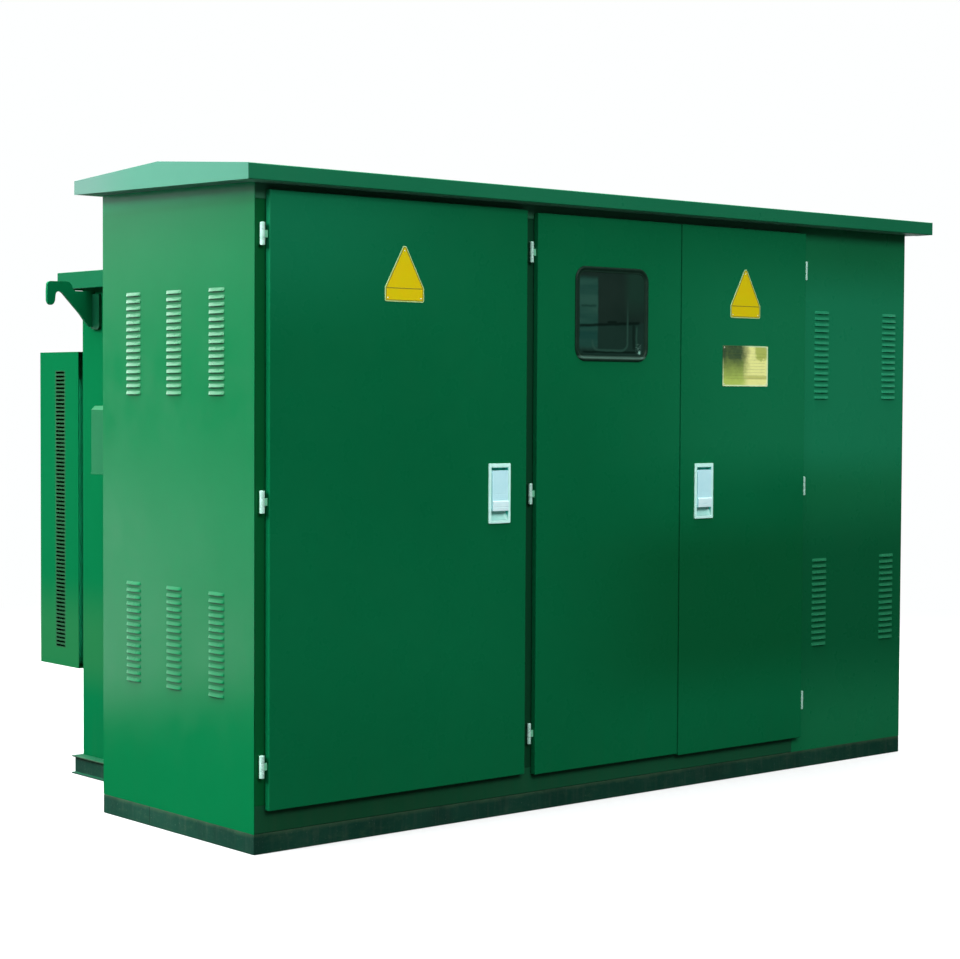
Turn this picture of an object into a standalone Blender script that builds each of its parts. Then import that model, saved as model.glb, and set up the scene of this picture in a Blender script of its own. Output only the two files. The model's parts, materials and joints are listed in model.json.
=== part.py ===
"""Compact substation: sheet-steel switch cabinet with a transformer tank behind it.

Metres, +Z up. The cabinet's front looks along -Y. The origin is on the floor,
under the middle of the whole object. Dimensions are worked out in the
cabinet's own coordinates (x from its left side, y from its front, z from the
floor), and OX, OY shift them to that origin.
"""
import math

import bmesh
import bpy
from mathutils import Matrix, Vector

# ---------------------------------------------------------------- dimensions
L = 3.000            # cabinet length
D = 0.854            # cabinet depth
HB = 0.061           # base channel height
FL = 0.040           # base channel flange
WEB = 0.0048         # base channel web
T = 0.0025           # cabinet sheet
GAP = 0.0003         # clearance between touching pieces
ZT = 2.000           # top of walls, inside the roof cap
FD = 0.030           # depth of the folded front frame
SILL_TOP = 0.145
HEAD_BOT = 1.934

ROOF_F = 0.074       # roof overhang at the front
ROOF_S = 0.073       # roof overhang at the sides
ROOF_B = 0.054       # roof overhang at the back
ROOF_Z0, ROOF_Z1 = 1.980, 2.0275      # front fascia
RIDGE_Y, RIDGE_Z = 0.412, 2.067
EAVE_Z0, EAVE_Z1 = 1.998, 2.042      # back fascia

DOOR_Y0, DOOR_Y1 = -0.025, -0.005    # door skin and back edge
DT = 0.002                            # door sheet
DOORS = {                             # x0, x1, z0, z1
    "hv": (0.037, 1.049, 0.130, 1.9605),
    "lv_left": (1.094, 1.7575, 0.1225, 1.9535),
    "lv_right": (1.7625, 2.405, 0.1165, 1.9535),
}
HINGE_X = {"hv": 0.0195, "lv_left": 1.0775, "lv_right": 2.4180}
HINGE_Y = -0.0125
HINGE_Z = {"hv": (0.2625, 1.0450, 1.8310), "lv_left": (0.258, 1.042, 1.826), "lv_right": (0.2515, 1.0370, 1.8195)}
KN_R = {"hv": 0.0078, "lv_left": 0.0065, "lv_right": 0.0065}      # knuckle radius
BORE_R, PIN_R = 0.0038, 0.0035
KN_H = 0.0335        # half height of a hinge
KN_M = 0.0115        # half height of its middle knuckle

WIN_C = (1.4275, 1.6335)
WIN_W, WIN_H, WIN_R = 0.338, 0.314, 0.045
LOCKS = {"hv": (0.9310, 1.0480), "lv": (1.8755, 1.0329)}
SIGNS = {"hv": (0.5405, 1.6470), "lv": (2.0820, 1.6383)}
SIGN_W, SIGN_BAND, SIGN_H = 0.154, 0.0440, 0.1720
PLATE_C, PLATE_W, PLATE_H = (2.0850, 1.4695), 0.234, 0.143

TX0, TX1 = 0.335, 2.665              # tank
TY0, TY1 = D + GAP, 1.557
TT = 0.005
SKID_H, SKID_T = 0.065, 0.005
SKID_X = 0.293
TANK_TOP = 1.7877
COVER = (0.295, 2.705, TY0, 1.665, 1.732, 1.792)
GUARD = (0.335, 2.665, 1.588, 1.864, 0.371, 1.510)
HOOK_Y = (1.476, 0.935)              # mid-plane of each hook plate
HOOK_T = 0.012

OX = -L / 2
OY = -(GUARD[3] - ROOF_F) / 2

# ------------------------------------------------------------------ scene
for ob in list(bpy.data.objects):
    bpy.data.objects.remove(ob, do_unlink=True)

PARTS = bpy.data.collections.new("compact_substation")
CUTS = bpy.data.collections.new("cutters")
bpy.context.scene.collection.children.link(PARTS)
bpy.context.scene.collection.children.link(CUTS)


def material(name, rgb, rough, metal=0.0):
    m = bpy.data.materials.new(name)
    m.use_nodes = True
    b = m.node_tree.nodes["Principled BSDF"]
    b.inputs["Base Color"].default_value = (*rgb, 1.0)
    b.inputs["Roughness"].default_value = rough
    b.inputs["Metallic"].default_value = metal
    m.diffuse_color = (*rgb, 1.0)
    return m


GREEN = material("body_paint", (0.012, 0.16, 0.07), 0.35)
GREEN_DARK = material("plinth_paint", (0.015, 0.06, 0.035), 0.55)
GREEN_ROOF = material("roof_paint", (0.02, 0.22, 0.11), 0.4)
LOCK_M = material("lock_metal", (0.62, 0.75, 0.78), 0.35, 0.4)
YELLOW = material("sign_yellow", (0.85, 0.62, 0.03), 0.4)
BRASS = material("brass", (0.62, 0.50, 0.16), 0.35, 0.9)
RUBBER = material("rubber", (0.01, 0.015, 0.012), 0.6)
GLASS = material("glass", (0.02, 0.06, 0.04), 0.05)


def own(ob, name, mat, coll=PARTS):
    for c in list(ob.users_collection):
        c.objects.unlink(ob)
    coll.objects.link(ob)
    ob.name = name
    ob.data.name = name
    ob.data.materials.clear()
    if mat is not None:
        ob.data.materials.append(mat.copy() if coll is PARTS else mat)
        if coll is PARTS:
            ob.data.materials[0].name = "%s_%s" % (name, mat.name)
    if coll is not PARTS:
        ob.hide_render = True
        ob.display_type = "WIRE"
    return ob


def box(name, x0, x1, y0, y1, z0, z1, mat=None, coll=PARTS):
    """A rectangular block between two corners, in cabinet coordinates."""
    bpy.ops.mesh.primitive_cube_add(size=1.0)
    ob = bpy.context.active_object
    ob.data.transform(Matrix.Diagonal((x1 - x0, y1 - y0, z1 - z0, 1.0)))
    ob.location = (OX + (x0 + x1) / 2, OY + (y0 + y1) / 2, (z0 + z1) / 2)
    return own(ob, name, mat, coll)


AXES = {
    "x": Matrix(((0, 0, 1), (1, 0, 0), (0, 1, 0))),      # outline in Y, Z
    "y": Matrix(((1, 0, 0), (0, 0, -1), (0, 1, 0))),     # outline in X, Z
    "z": Matrix(((1, 0, 0), (0, 1, 0), (0, 0, 1))),      # outline in X, Y
}


def plate(name, axis, loops, lo, hi, mat=None, coll=PARTS):
    """A flat outline (first loop) with holes (other loops), given a thickness
    from lo to hi along the axis. Cabinet coordinates."""
    cu = bpy.data.curves.new(name + "_outline", "CURVE")
    cu.dimensions = "2D"
    cu.fill_mode = "BOTH"
    cu.extrude = (hi - lo) / 2
    for loop in loops:
        sp = cu.splines.new("POLY")
        sp.points.add(len(loop) - 1)
        for p, (u, v) in zip(sp.points, loop):
            p.co = (u, v, 0.0, 1.0)
        sp.use_cyclic_u = True
    tmp = bpy.data.objects.new(name + "_curve", cu)
    bpy.context.scene.collection.objects.link(tmp)
    mid = (lo + hi) / 2
    shift = {"x": (OX + mid, OY, 0.0), "y": (OX, OY + mid, 0.0), "z": (OX, OY, mid)}[axis]
    tmp.matrix_world = Matrix.Translation(shift) @ AXES[axis].to_4x4()
    bpy.context.view_layer.update()
    me = bpy.data.meshes.new_from_object(tmp.evaluated_get(bpy.context.evaluated_depsgraph_get()))
    bm = bmesh.new()
    bm.from_mesh(me)
    bmesh.ops.remove_doubles(bm, verts=bm.verts, dist=0.00001)
    bmesh.ops.recalc_face_normals(bm, faces=bm.faces)
    bm.to_mesh(me)
    bm.free()
    ob = bpy.data.objects.new(name, me)
    ob.matrix_world = tmp.matrix_world
    bpy.context.scene.collection.objects.link(ob)
    bpy.data.objects.remove(tmp, do_unlink=True)
    bpy.data.curves.remove(cu)
    return own(ob, name, mat, coll)


def rod(name, axis, cx, cy, cz, r, half, mat=None, coll=PARTS, sides=16):
    """A cylinder centred at a point, along X or Z."""
    bpy.ops.mesh.primitive_cylinder_add(vertices=sides, radius=r, depth=2 * half)
    ob = bpy.context.active_object
    if axis == "x":
        ob.data.transform(Matrix.Rotation(math.radians(90), 4, "Y"))
    ob.location = (OX + cx, OY + cy, cz)
    return own(ob, name, mat, coll)


def group(name):
    c = bpy.data.collections.new(name)
    CUTS.children.link(c)
    return c


def boolean(ob, op, target):
    m = ob.modifiers.new(op.lower(), "BOOLEAN")
    m.operation = op
    m.solver = "EXACT"
    if isinstance(target, bpy.types.Collection):
        m.operand_type = "COLLECTION"
        m.collection = target
    else:
        m.object = target
    return m


def rounded(cx, cy, w, h, r, n=5):
    """Points round a rectangle with round corners."""
    pts = []
    for i, (sx, sy) in enumerate(((1, 1), (-1, 1), (-1, -1), (1, -1))):
        for k in range(n + 1):
            a = math.pi / 2 * (i + k / n)
            pts.append((cx + sx * (w / 2 - r) + r * math.cos(a),
                        cy + sy * (h / 2 - r) + r * math.sin(a)))
    return pts


def folded(points, t, plumb=None):
    """The outline of a folded sheet: an open line of outer corners and the same
    line offset by the sheet's thickness to its left. The end that plumb names
    is cut upright instead of square."""
    n = len(points)
    out = []
    for i in range(n):
        p = Vector(points[i])
        normals = []
        if i > 0:
            d = (p - Vector(points[i - 1])).normalized()
            normals.append(Vector((-d.y, d.x)))
        if i < n - 1:
            d = (Vector(points[i + 1]) - p).normalized()
            normals.append(Vector((-d.y, d.x)))
        m = sum(normals, Vector((0.0, 0.0))).normalized()
        if i == plumb:
            m = Vector((0.0, -1.0))
        out.append(p + m * (t / m.dot(normals[0])))
    return [tuple(p) for p in points] + [tuple(p) for p in reversed(out)]


# ------------------------------------------------------- base frame, mitred
def mitred_channel(name, run, u_to, v_to):
    """A rolled channel with its web outside and mitred ends. u runs along it,
    v inwards from the web, and the two maps place them."""
    outline = [(0, 0), (FL, 0), (FL, 0.005), (WEB, 0.005), (WEB, HB - 0.005),
               (FL, HB - 0.005), (FL, HB), (0, HB)]
    cu = plate(name, "x", [outline], 0.0, run, GREEN_DARK)
    me = cu.data
    me.transform(cu.matrix_world)
    cu.matrix_world = Matrix.Identity(4)
    for v in me.vertices:
        u, w, z = v.co.x - OX, v.co.y - OY, v.co.z
        u = w + GAP / 2 if u < run / 2 else run - w - GAP / 2
        x, y = u_to(u, w), v_to(u, w)
        v.co = (OX + x, OY + y, z)
    bm = bmesh.new()
    bm.from_mesh(me)
    bmesh.ops.recalc_face_normals(bm, faces=bm.faces)
    bm.to_mesh(me)
    bm.free()
    return cu


mitred_channel("base_front", L, lambda u, v: u, lambda u, v: v)
mitred_channel("base_back", L, lambda u, v: u, lambda u, v: D - v)
mitred_channel("base_left", D, lambda u, v: v, lambda u, v: u)
mitred_channel("base_right", D, lambda u, v: L - v, lambda u, v: u)

# tank skids: rolled sections whose web stands a little inside their outer edge
for side, flip in (("left", False), ("right", True)):
    w0, w1 = SKID_X + 0.014, SKID_X + 0.014 + SKID_T
    top, low = SKID_H - SKID_T, SKID_T
    xs = [SKID_X, 0.341, 0.341, w1, w1, 0.341, 0.341, SKID_X, SKID_X, w0, w0, SKID_X]
    zs = [0, 0, low, low, top, top, SKID_H, SKID_H, top, top, low, low]
    pts = [((L - x) if flip else x, z) for x, z in zip(xs, zs)]
    plate("skid_" + side, "y", [pts], TY0, 1.567, GREEN_DARK)

# ---------------------------------------------------------- cabinet shell
box("floor_plate", T + GAP, L - T - GAP, FD + 0.0005, D - T - GAP, HB + GAP, HB + GAP + 0.003, GREEN)
box("left_wall", 0, T, 0, D, HB + GAP, ZT, GREEN)
box("right_wall", L - T, L, 0, D, HB + GAP, ZT, GREEN)
box("back_wall", T + GAP, L - T - GAP, D - T, D, HB + GAP, ZT, GREEN)

XF0, XF1 = T + GAP, 2.380            # from the left wall to the fixed panel


def rail(name, z0, z1):
    pts = folded([(FD, z1), (0, z1), (0, z0), (FD, z0)], T)
    return plate(name, "x", [pts], XF0, XF1 - GAP, GREEN)


rail("front_sill", HB + GAP, SILL_TOP)
rail("front_header", HEAD_BOT, ZT)


def hinge_fixed(tag, key, coll):
    """Frame halves of three hinges: two knuckles, pin, web and leaf each."""
    x, y = HINGE_X[key], HINGE_Y
    for i, z in enumerate(HINGE_Z[key]):
        n = "%s_%d_" % (tag, i)
        for s in (-1, 1):
            mid = s * (0.012 + KN_H) / 2
            rod(n + "knuckle%d" % s, "z", x, y, z + mid, KN_R[key], (KN_H - 0.012) / 2, None, coll)
            box(n + "web%d" % s, x - 0.002, x + 0.002, y + 0.0045, 0.001,
                z + mid - 0.0106, z + mid + 0.0106, None, coll)
        rod(n + "pin", "z", x, y, z, PIN_R, KN_H + 0.0015, None, coll)
        box(n + "leaf", x - 0.0075, x + 0.0075, -0.002, 0.0012, z - KN_H, z + KN_H, None, coll)


def post(name, x0, x1, hinge):
    pts = folded([(x0, FD), (x0, 0), (x1, 0), (x1, FD)], T)
    ob = plate(name, "z", [pts], SILL_TOP + GAP, HEAD_BOT - GAP, GREEN)
    g = group(name + "_hinges")
    hinge_fixed(name, hinge, g)
    boolean(ob, "UNION", g)
    return ob


post("front_post_left", XF0, 0.058, "hv")
post("front_post_middle", 1.031, 1.112, "lv_left")

# fixed panel at the right: folded once, its edge carries the last door
fp = plate("front_panel_fixed", "z",
           [folded([(XF1, FD), (XF1, 0), (L - T - GAP, 0)], T)], HB + GAP, ZT, GREEN)
g = group("front_panel_hinges")
hinge_fixed("front_panel", "lv_right", g)
boolean(fp, "UNION", g)

# ------------------------------------------------------------------- roof
RX0, RX1 = -ROOF_S + T + GAP, L + ROOF_S - T - GAP
plate("roof_front", "x",
      [folded([(RIDGE_Y - GAP / 2, RIDGE_Z), (-ROOF_F, ROOF_Z1), (-ROOF_F, ROOF_Z0), (-GAP, ROOF_Z0)], T, 0)],
      RX0, RX1, GREEN_ROOF)
plate("roof_back", "x",
      [folded([(D + GAP, EAVE_Z0), (D + ROOF_B, EAVE_Z0), (D + ROOF_B, EAVE_Z1), (RIDGE_Y + GAP / 2, RIDGE_Z)], T, 3)],
      RX0, RX1, GREEN_ROOF)


def under(y):
    """Height of the roof's lower edge along its ends."""
    return ROOF_Z0 + (EAVE_Z0 - ROOF_Z0) * (y + ROOF_F) / (D + ROOF_F + ROOF_B)


for side in ("left", "right"):
    a, b, c = (-ROOF_S, -ROOF_S + T, -GAP) if side == "left" else (L + ROOF_S, L + ROOF_S - T, L + GAP)
    ob = plate("roof_gable_" + side, "x",
               [[(-ROOF_F, ROOF_Z0), (D + ROOF_B, EAVE_Z0), (D + ROOF_B, EAVE_Z1),
                 (RIDGE_Y, RIDGE_Z), (-ROOF_F, ROOF_Z1)]], min(a, b), max(a, b), GREEN_ROOF)
    inner = b - 0.0005 if side == "left" else b + 0.0005
    lip = plate("gable_lip_" + side, "x",
                [[(0.0, under(0) + 0.0005), (D, under(D) + 0.0005),
                  (D, under(D) + T), (0.0, under(0) + T)]], min(inner, c), max(inner, c), None, CUTS)
    boolean(ob, "UNION", lip)


# ------------------------------------------------------------------ doors
def door(tag):
    x0, x1, z0, z1 = DOORS[tag]
    name = "door_" + tag
    ob = box(name, x0, x1, DOOR_Y0, DOOR_Y1, z0, z1, GREEN)
    # the door turns about its hinge pins
    ax = OX + HINGE_X[tag]
    ay = OY + HINGE_Y
    az = ob.location.z
    ob.data.transform(Matrix.Translation(ob.location - Vector((ax, ay, az))))
    ob.location = (ax, ay, az)
    tray = box(name + "_tray", x0 + DT, x1 - DT, DOOR_Y0 + DT, DOOR_Y1 + 0.02, z0 + DT, z1 - DT, None, CUTS)
    boolean(ob, "DIFFERENCE", tray)
    hx = HINGE_X[tag]
    left = hx < x0
    g = group(name + "_knuckles")
    bores = group(name + "_bores")
    for i, z in enumerate(HINGE_Z[tag]):
        rod("%s_knuckle%d" % (name, i), "z", hx, HINGE_Y, z, KN_R[tag], KN_M, None, g)
        a, b = (hx + 0.0045, x0 + 0.001) if left else (x1 - 0.001, hx - 0.0045)
        box("%s_tab%d" % (name, i), a, b, HINGE_Y - 0.002, HINGE_Y + 0.002,
            z - KN_M + 0.0002, z + KN_M - 0.0002, None, g)
        rod("%s_bore%d" % (name, i), "z", hx, HINGE_Y, z, BORE_R, KN_M + 0.004, None, bores)
    boolean(ob, "UNION", g)
    boolean(ob, "DIFFERENCE", bores)
    return ob


door_hv = door("hv")
door_lv_left = door("lv_left")
door_lv_right = door("lv_right")

# ---------------------------------------------------------- inspection window
wx, wz = WIN_C
cut = plate("window_cut", "y", [rounded(wx, wz, WIN_W - 0.024, WIN_H - 0.024, WIN_R - 0.012)],
            DOOR_Y0 - 0.01, DOOR_Y1 + 0.01, None, CUTS)
boolean(door_lv_left, "DIFFERENCE", cut)
gasket = plate("window_gasket", "y", [rounded(wx, wz, WIN_W, WIN_H, WIN_R)], -0.0305, -0.0253, RUBBER)
neck = plate("gasket_neck", "y",
             [rounded(wx, wz, WIN_W - 0.0246, WIN_H - 0.0246, WIN_R - 0.0123)], -0.028, -0.019, None, CUTS)
boolean(gasket, "UNION", neck)
sight = plate("gasket_sight", "y",
              [rounded(wx, wz, WIN_W - 0.046, WIN_H - 0.046, WIN_R - 0.023)], -0.04, -0.01, None, CUTS)
boolean(gasket, "DIFFERENCE", sight)
plate("window_glass", "y",
      [rounded(wx, wz, WIN_W - 0.0466, WIN_H - 0.0466, WIN_R - 0.0233)], -0.0265, -0.0225, GLASS)


# ------------------------------------------------------------------ locks
def lock(tag, owner):
    cx, cz = LOCKS[tag]
    body = box("lock_%s_body" % tag, cx - 0.0462, cx + 0.0462, -0.0310, -0.0253,
               cz - 0.09625, cz + 0.09625, LOCK_M)
    shell = box("lock_%s_shell" % tag, cx - 0.0402, cx + 0.0402, -0.0300, -0.0075,
                cz - 0.0885, cz + 0.0885, None, CUTS)
    boolean(body, "UNION", shell)
    pocket = box("lock_%s_pocket" % tag, cx - 0.038, cx + 0.038, -0.045, -0.0095,
                 cz - 0.0863, cz + 0.0824, None, CUTS)
    boolean(body, "DIFFERENCE", pocket)
    hole = box("lock_%s_hole" % tag, cx - 0.0405, cx + 0.0405, DOOR_Y0 - 0.01, DOOR_Y1 + 0.01,
               cz - 0.0888, cz + 0.0888, None, CUTS)
    boolean(owner, "DIFFERENCE", hole)
    lever = plate("lock_%s_lever" % tag, "x",
                  [[(-0.0240, cz + 0.0737), (-0.0325, cz + 0.0737), (-0.0325, cz - 0.0225),
                    (-0.0360, cz - 0.0265), (-0.0360, cz - 0.0563), (-0.0285, cz - 0.0563),
                    (-0.0285, cz - 0.0480), (-0.0240, cz - 0.0480)]],
                  cx - 0.033, cx + 0.033, LOCK_M)
    # the lever turns about its cross pin
    pin_at = Vector((OX + cx, OY - 0.0275, cz + 0.0677))
    lever.data.transform(Matrix.Translation(-pin_at) @ lever.matrix_world)
    lever.matrix_world = Matrix.Translation(pin_at)
    pin = rod("lock_%s_pin" % tag, "x", cx, -0.0275, cz + 0.0677, 0.003, 0.0377, None, CUTS)
    boolean(lever, "UNION", pin)


lock("hv", door_hv)
lock("lv", door_lv_right)


# ----------------------------------------------------- sign plates, rating plate
def sign(tag):
    cx, z = SIGNS[tag]
    w = SIGN_W / 2
    plate("sign_plate_" + tag, "y",
          [[(cx - w, z), (cx + w, z), (cx + w, z + SIGN_BAND), (cx + 0.006, z + SIGN_H),
            (cx - 0.006, z + SIGN_H), (cx - w, z + SIGN_BAND)]], -0.0268, -0.0253, YELLOW)


sign("hv")
sign("lv")
plate("rating_plate", "y", [rounded(*PLATE_C, PLATE_W, PLATE_H, 0.004, 2)], -0.0265, -0.0253, BRASS)

# ------------------------------------------------------------------- tank
Z0 = SKID_H + GAP
box("tank_floor", TX0, TX1, TY0, TY1, Z0, Z0 + TT, GREEN)
ZW = Z0 + TT + GAP
box("tank_left_wall", TX0, TX0 + TT, TY0, TY1, ZW, TANK_TOP, GREEN)
box("tank_right_wall", TX1 - TT, TX1, TY0, TY1, ZW, TANK_TOP, GREEN)
box("tank_back_wall", TX0 + TT + GAP, TX1 - TT - GAP, TY1 - TT, TY1, ZW, TANK_TOP, GREEN)
box("tank_front_wall", TX0 + TT + GAP, TX1 - TT - GAP, TY0, TY0 + TT, ZW, TANK_TOP, GREEN)

cover = box("tank_cover", *COVER, GREEN_ROOF)
boolean(cover, "DIFFERENCE",
        box("cover_hollow", COVER[0] + 0.004, COVER[1] - 0.004, COVER[2] - 0.02, COVER[3] - 0.004,
            COVER[4] - 0.02, COVER[5] - 0.004, None, CUTS))

# radiator: a header sheet with upright fins, open between them
FIN_N, FIN_T = 24, 0.012
fx0, fx1 = 0.400, 2.600
pitch = (fx1 - fx0 - FIN_T) / (FIN_N - 1)
ys = (TY1 + GAP, TY1 + 0.010, 1.840)
comb = [(fx0, ys[0]), (fx1, ys[0])]
for i in reversed(range(FIN_N)):
    a = fx0 + i * pitch
    comb += [(a + FIN_T, ys[1]), (a + FIN_T, ys[2]), (a, ys[2]), (a, ys[1])]
comb[2:3] = []                     # the last fin is flush with the header's end
comb[-1:] = []
plate("radiator_fins", "z", [comb], GUARD[4] + 0.002 + GAP, GUARD[5] - 0.002 - GAP, GREEN)

guard = box("radiator_guard", *GUARD, GREEN)
boolean(guard, "DIFFERENCE",
        box("guard_hollow", GUARD[0] + 0.002, GUARD[1] - 0.002, GUARD[2] - 0.02, GUARD[3] - 0.002,
            GUARD[4] + 0.002, GUARD[5] - 0.002, None, CUTS))

# small terminal box on the tank's left wall, its top edge sloped
plate("terminal_box", "y",
      [[(TX0 - GAP, 1.080), (TX0 - GAP, 1.318), (0.270, 1.318), (0.255, 1.304), (0.255, 1.080)]],
      1.130, 1.367, GREEN)


# ------------------------------------------------------------ lifting hooks
def hook(name, flip, ymid):
    """Flat plate with its tip turned down, on a pad welded to the tank wall.
    d is the distance out from the wall."""
    outline = [(0.177, 1.7520), (0.110, 1.7530), (0.098, 1.7480), (0.092, 1.7380), (0.086, 1.7240),
               (0.078, 1.7205), (GAP, 1.7205), (GAP, 1.5965), (0.0255, 1.5965), (0.0612, 1.6418),
               (0.1225, 1.7045), (0.1290, 1.7115), (0.1380, 1.7165), (0.1480, 1.7170),
               (0.1545, 1.7120), (0.1570, 1.7040), (0.1590, 1.6850), (0.1630, 1.6750),
               (0.1710, 1.6690), (0.1790, 1.6690), (0.1860, 1.6740), (0.1900, 1.6840),
               (0.1905, 1.7160), (0.1885, 1.7430), (0.1845, 1.7490)]

    def to_x(d):
        return TX1 + d if flip else TX0 - d
    ob = plate(name, "y", [[(to_x(d), z) for d, z in outline]], ymid - HOOK_T / 2, ymid + HOOK_T / 2, GREEN)
    y0, y1 = ymid - 0.052, ymid + HOOK_T / 2 - 0.001
    pad_outline = rounded((y0 + y1) / 2, 1.6495, y1 - y0, 0.125, 0.012, 3)
    a, b = sorted((to_x(GAP), to_x(0.012)))
    pad = plate(name + "_pad", "x", [pad_outline], a, b, None, CUTS)
    boolean(ob, "UNION", pad)


hook("lifting_hook_rear_left", False, HOOK_Y[0])
hook("lifting_hook_rear_right", True, HOOK_Y[0])
hook("lifting_hook_front_left", False, HOOK_Y[1])
hook("lifting_hook_front_right", True, HOOK_Y[1])
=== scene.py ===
"""Looks of the compact substation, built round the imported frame.

Metres, +Z up. Shapes are worked out in the cabinet's own coordinates (x from
its left side, y from its front face, z from the floor); OX and OY shift them to
the frame's origin.
"""

import json
import math

import bmesh
import bpy
from mathutils import Matrix, Vector


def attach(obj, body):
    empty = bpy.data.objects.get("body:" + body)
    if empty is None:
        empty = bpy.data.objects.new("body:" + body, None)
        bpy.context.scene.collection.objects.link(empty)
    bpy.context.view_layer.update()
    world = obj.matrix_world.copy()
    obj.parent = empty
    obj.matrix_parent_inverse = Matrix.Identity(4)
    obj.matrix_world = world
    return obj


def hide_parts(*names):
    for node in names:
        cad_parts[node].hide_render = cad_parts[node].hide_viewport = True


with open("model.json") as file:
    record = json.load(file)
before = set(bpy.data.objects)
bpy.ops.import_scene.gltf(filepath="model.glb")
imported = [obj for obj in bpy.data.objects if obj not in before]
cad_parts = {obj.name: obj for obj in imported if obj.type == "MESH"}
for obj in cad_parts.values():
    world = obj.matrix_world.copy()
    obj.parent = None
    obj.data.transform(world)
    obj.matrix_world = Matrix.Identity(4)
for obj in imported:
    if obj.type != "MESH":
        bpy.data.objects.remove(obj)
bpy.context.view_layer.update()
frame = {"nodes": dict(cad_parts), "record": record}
NODES = frame["nodes"]
OX, OY = -1.5, -0.895

# ------------------------------------------------------------- dimensions
L, D = 3.000, 0.854
GAP = 0.0003
T = 0.0025
DOORS = {
    "hv": (0.037, 1.049, 0.130, 1.9605),
    "lv_left": (1.094, 1.7575, 0.1225, 1.9535),
    "lv_right": (1.7625, 2.405, 0.1165, 1.9535),
}
HINGE_X = {"hv": 0.0195, "lv_left": 1.0775, "lv_right": 2.4180}
HINGE_Y = -0.0125
HINGE_Z = {"hv": (0.2625, 1.0450, 1.8310), "lv_left": (0.258, 1.042, 1.826), "lv_right": (0.2515, 1.0370, 1.8195)}
KNUCKLE_R = {"hv": 0.0078, "lv_left": 0.0065, "lv_right": 0.0065}
WIN_C, WIN_W, WIN_H, WIN_R = (1.4275, 1.6335), 0.338, 0.314, 0.045
LOCKS = {"hv": (0.9310, 1.0480), "lv": (1.8755, 1.0329)}
SIGNS = {"hv": (0.5405, 1.6470), "lv": (2.0820, 1.6383)}
SIGN_W, SIGN_BAND, SIGN_H = 0.154, 0.0440, 0.1720
PLATE_C, PLATE_W, PLATE_H = (2.0850, 1.4695), 0.234, 0.143
GUARD = (0.335, 2.665, 1.588, 1.864, 0.371, 1.510)
LOUVRE_H, LOUVRE_D = 0.0114, 0.0070
TX0 = 0.335


# -------------------------------------------------------------- materials
class Mat:
    """A small helper that wires a procedural material."""

    def __init__(self, name):
        self.m = bpy.data.materials.new(name)
        self.m.use_nodes = True
        self.t = self.m.node_tree
        self.t.nodes.clear()
        self.out = self.t.nodes.new("ShaderNodeOutputMaterial")
        self.b = self.t.nodes.new("ShaderNodeBsdfPrincipled")
        self.t.links.new(self.b.outputs[0], self.out.inputs[0])
        self.co = self.t.nodes.new("ShaderNodeTexCoord").outputs["Object"]
        self.xyz = None

    def put(self, sock, value):
        s = self.b.inputs[sock]
        if hasattr(value, "is_linked") or hasattr(value, "links"):
            self.t.links.new(value, s)
        else:
            s.default_value = (*value, 1.0) if isinstance(value, tuple) and len(value) == 3 else value

    def feed(self, node, i, value):
        if hasattr(value, "links"):
            self.t.links.new(value, node.inputs[i])
        elif isinstance(value, tuple) and len(value) == 3 and node.inputs[i].type == "RGBA":
            node.inputs[i].default_value = (*value, 1.0)
        else:
            node.inputs[i].default_value = value

    def noise(self, scale, detail=3.0, rough=0.5, stretch=None, distort=0.0):
        n = self.t.nodes.new("ShaderNodeTexNoise")
        n.inputs["Scale"].default_value = scale
        n.inputs["Detail"].default_value = detail
        n.inputs["Roughness"].default_value = rough
        n.inputs["Distortion"].default_value = distort
        src = self.co
        if stretch:
            v = self.t.nodes.new("ShaderNodeVectorMath")
            v.operation = "MULTIPLY"
            v.inputs[1].default_value = stretch
            self.t.links.new(src, v.inputs[0])
            src = v.outputs[0]
        self.t.links.new(src, n.inputs["Vector"])
        return n.outputs[0]

    def axis(self, i):
        if self.xyz is None:
            self.xyz = self.t.nodes.new("ShaderNodeSeparateXYZ")
            self.t.links.new(self.co, self.xyz.inputs[0])
        return self.xyz.outputs[i]

    def math(self, op, a, b=0.0, clamp=False):
        n = self.t.nodes.new("ShaderNodeMath")
        n.operation = op
        n.use_clamp = clamp
        self.feed(n, 0, a)
        self.feed(n, 1, b)
        return n.outputs[0]

    def span(self, value, a, b, lo=0.0, hi=1.0, smooth=False):
        n = self.t.nodes.new("ShaderNodeMapRange")
        if smooth:
            n.interpolation_type = "SMOOTHSTEP"
        self.feed(n, 0, value)
        for i, v in enumerate((a, b, lo, hi)):
            n.inputs[i + 1].default_value = v
        return n.outputs[0]

    def mix(self, fac, a, b, mode="MIX"):
        n = self.t.nodes.new("ShaderNodeMix")
        n.data_type = "RGBA"
        n.blend_type = mode
        self.feed(n, 0, fac)
        for i, v in ((6, a), (7, b)):
            if hasattr(v, "links"):
                self.t.links.new(v, n.inputs[i])
            else:
                n.inputs[i].default_value = (*v, 1.0)
        return n.outputs[2]

    def bump(self, height, strength, distance, before=None):
        n = self.t.nodes.new("ShaderNodeBump")
        n.inputs["Strength"].default_value = strength
        n.inputs["Distance"].default_value = distance
        self.t.links.new(height, n.inputs["Height"])
        if before is not None:
            self.t.links.new(before, n.inputs["Normal"])
        return n.outputs[0]


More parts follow.
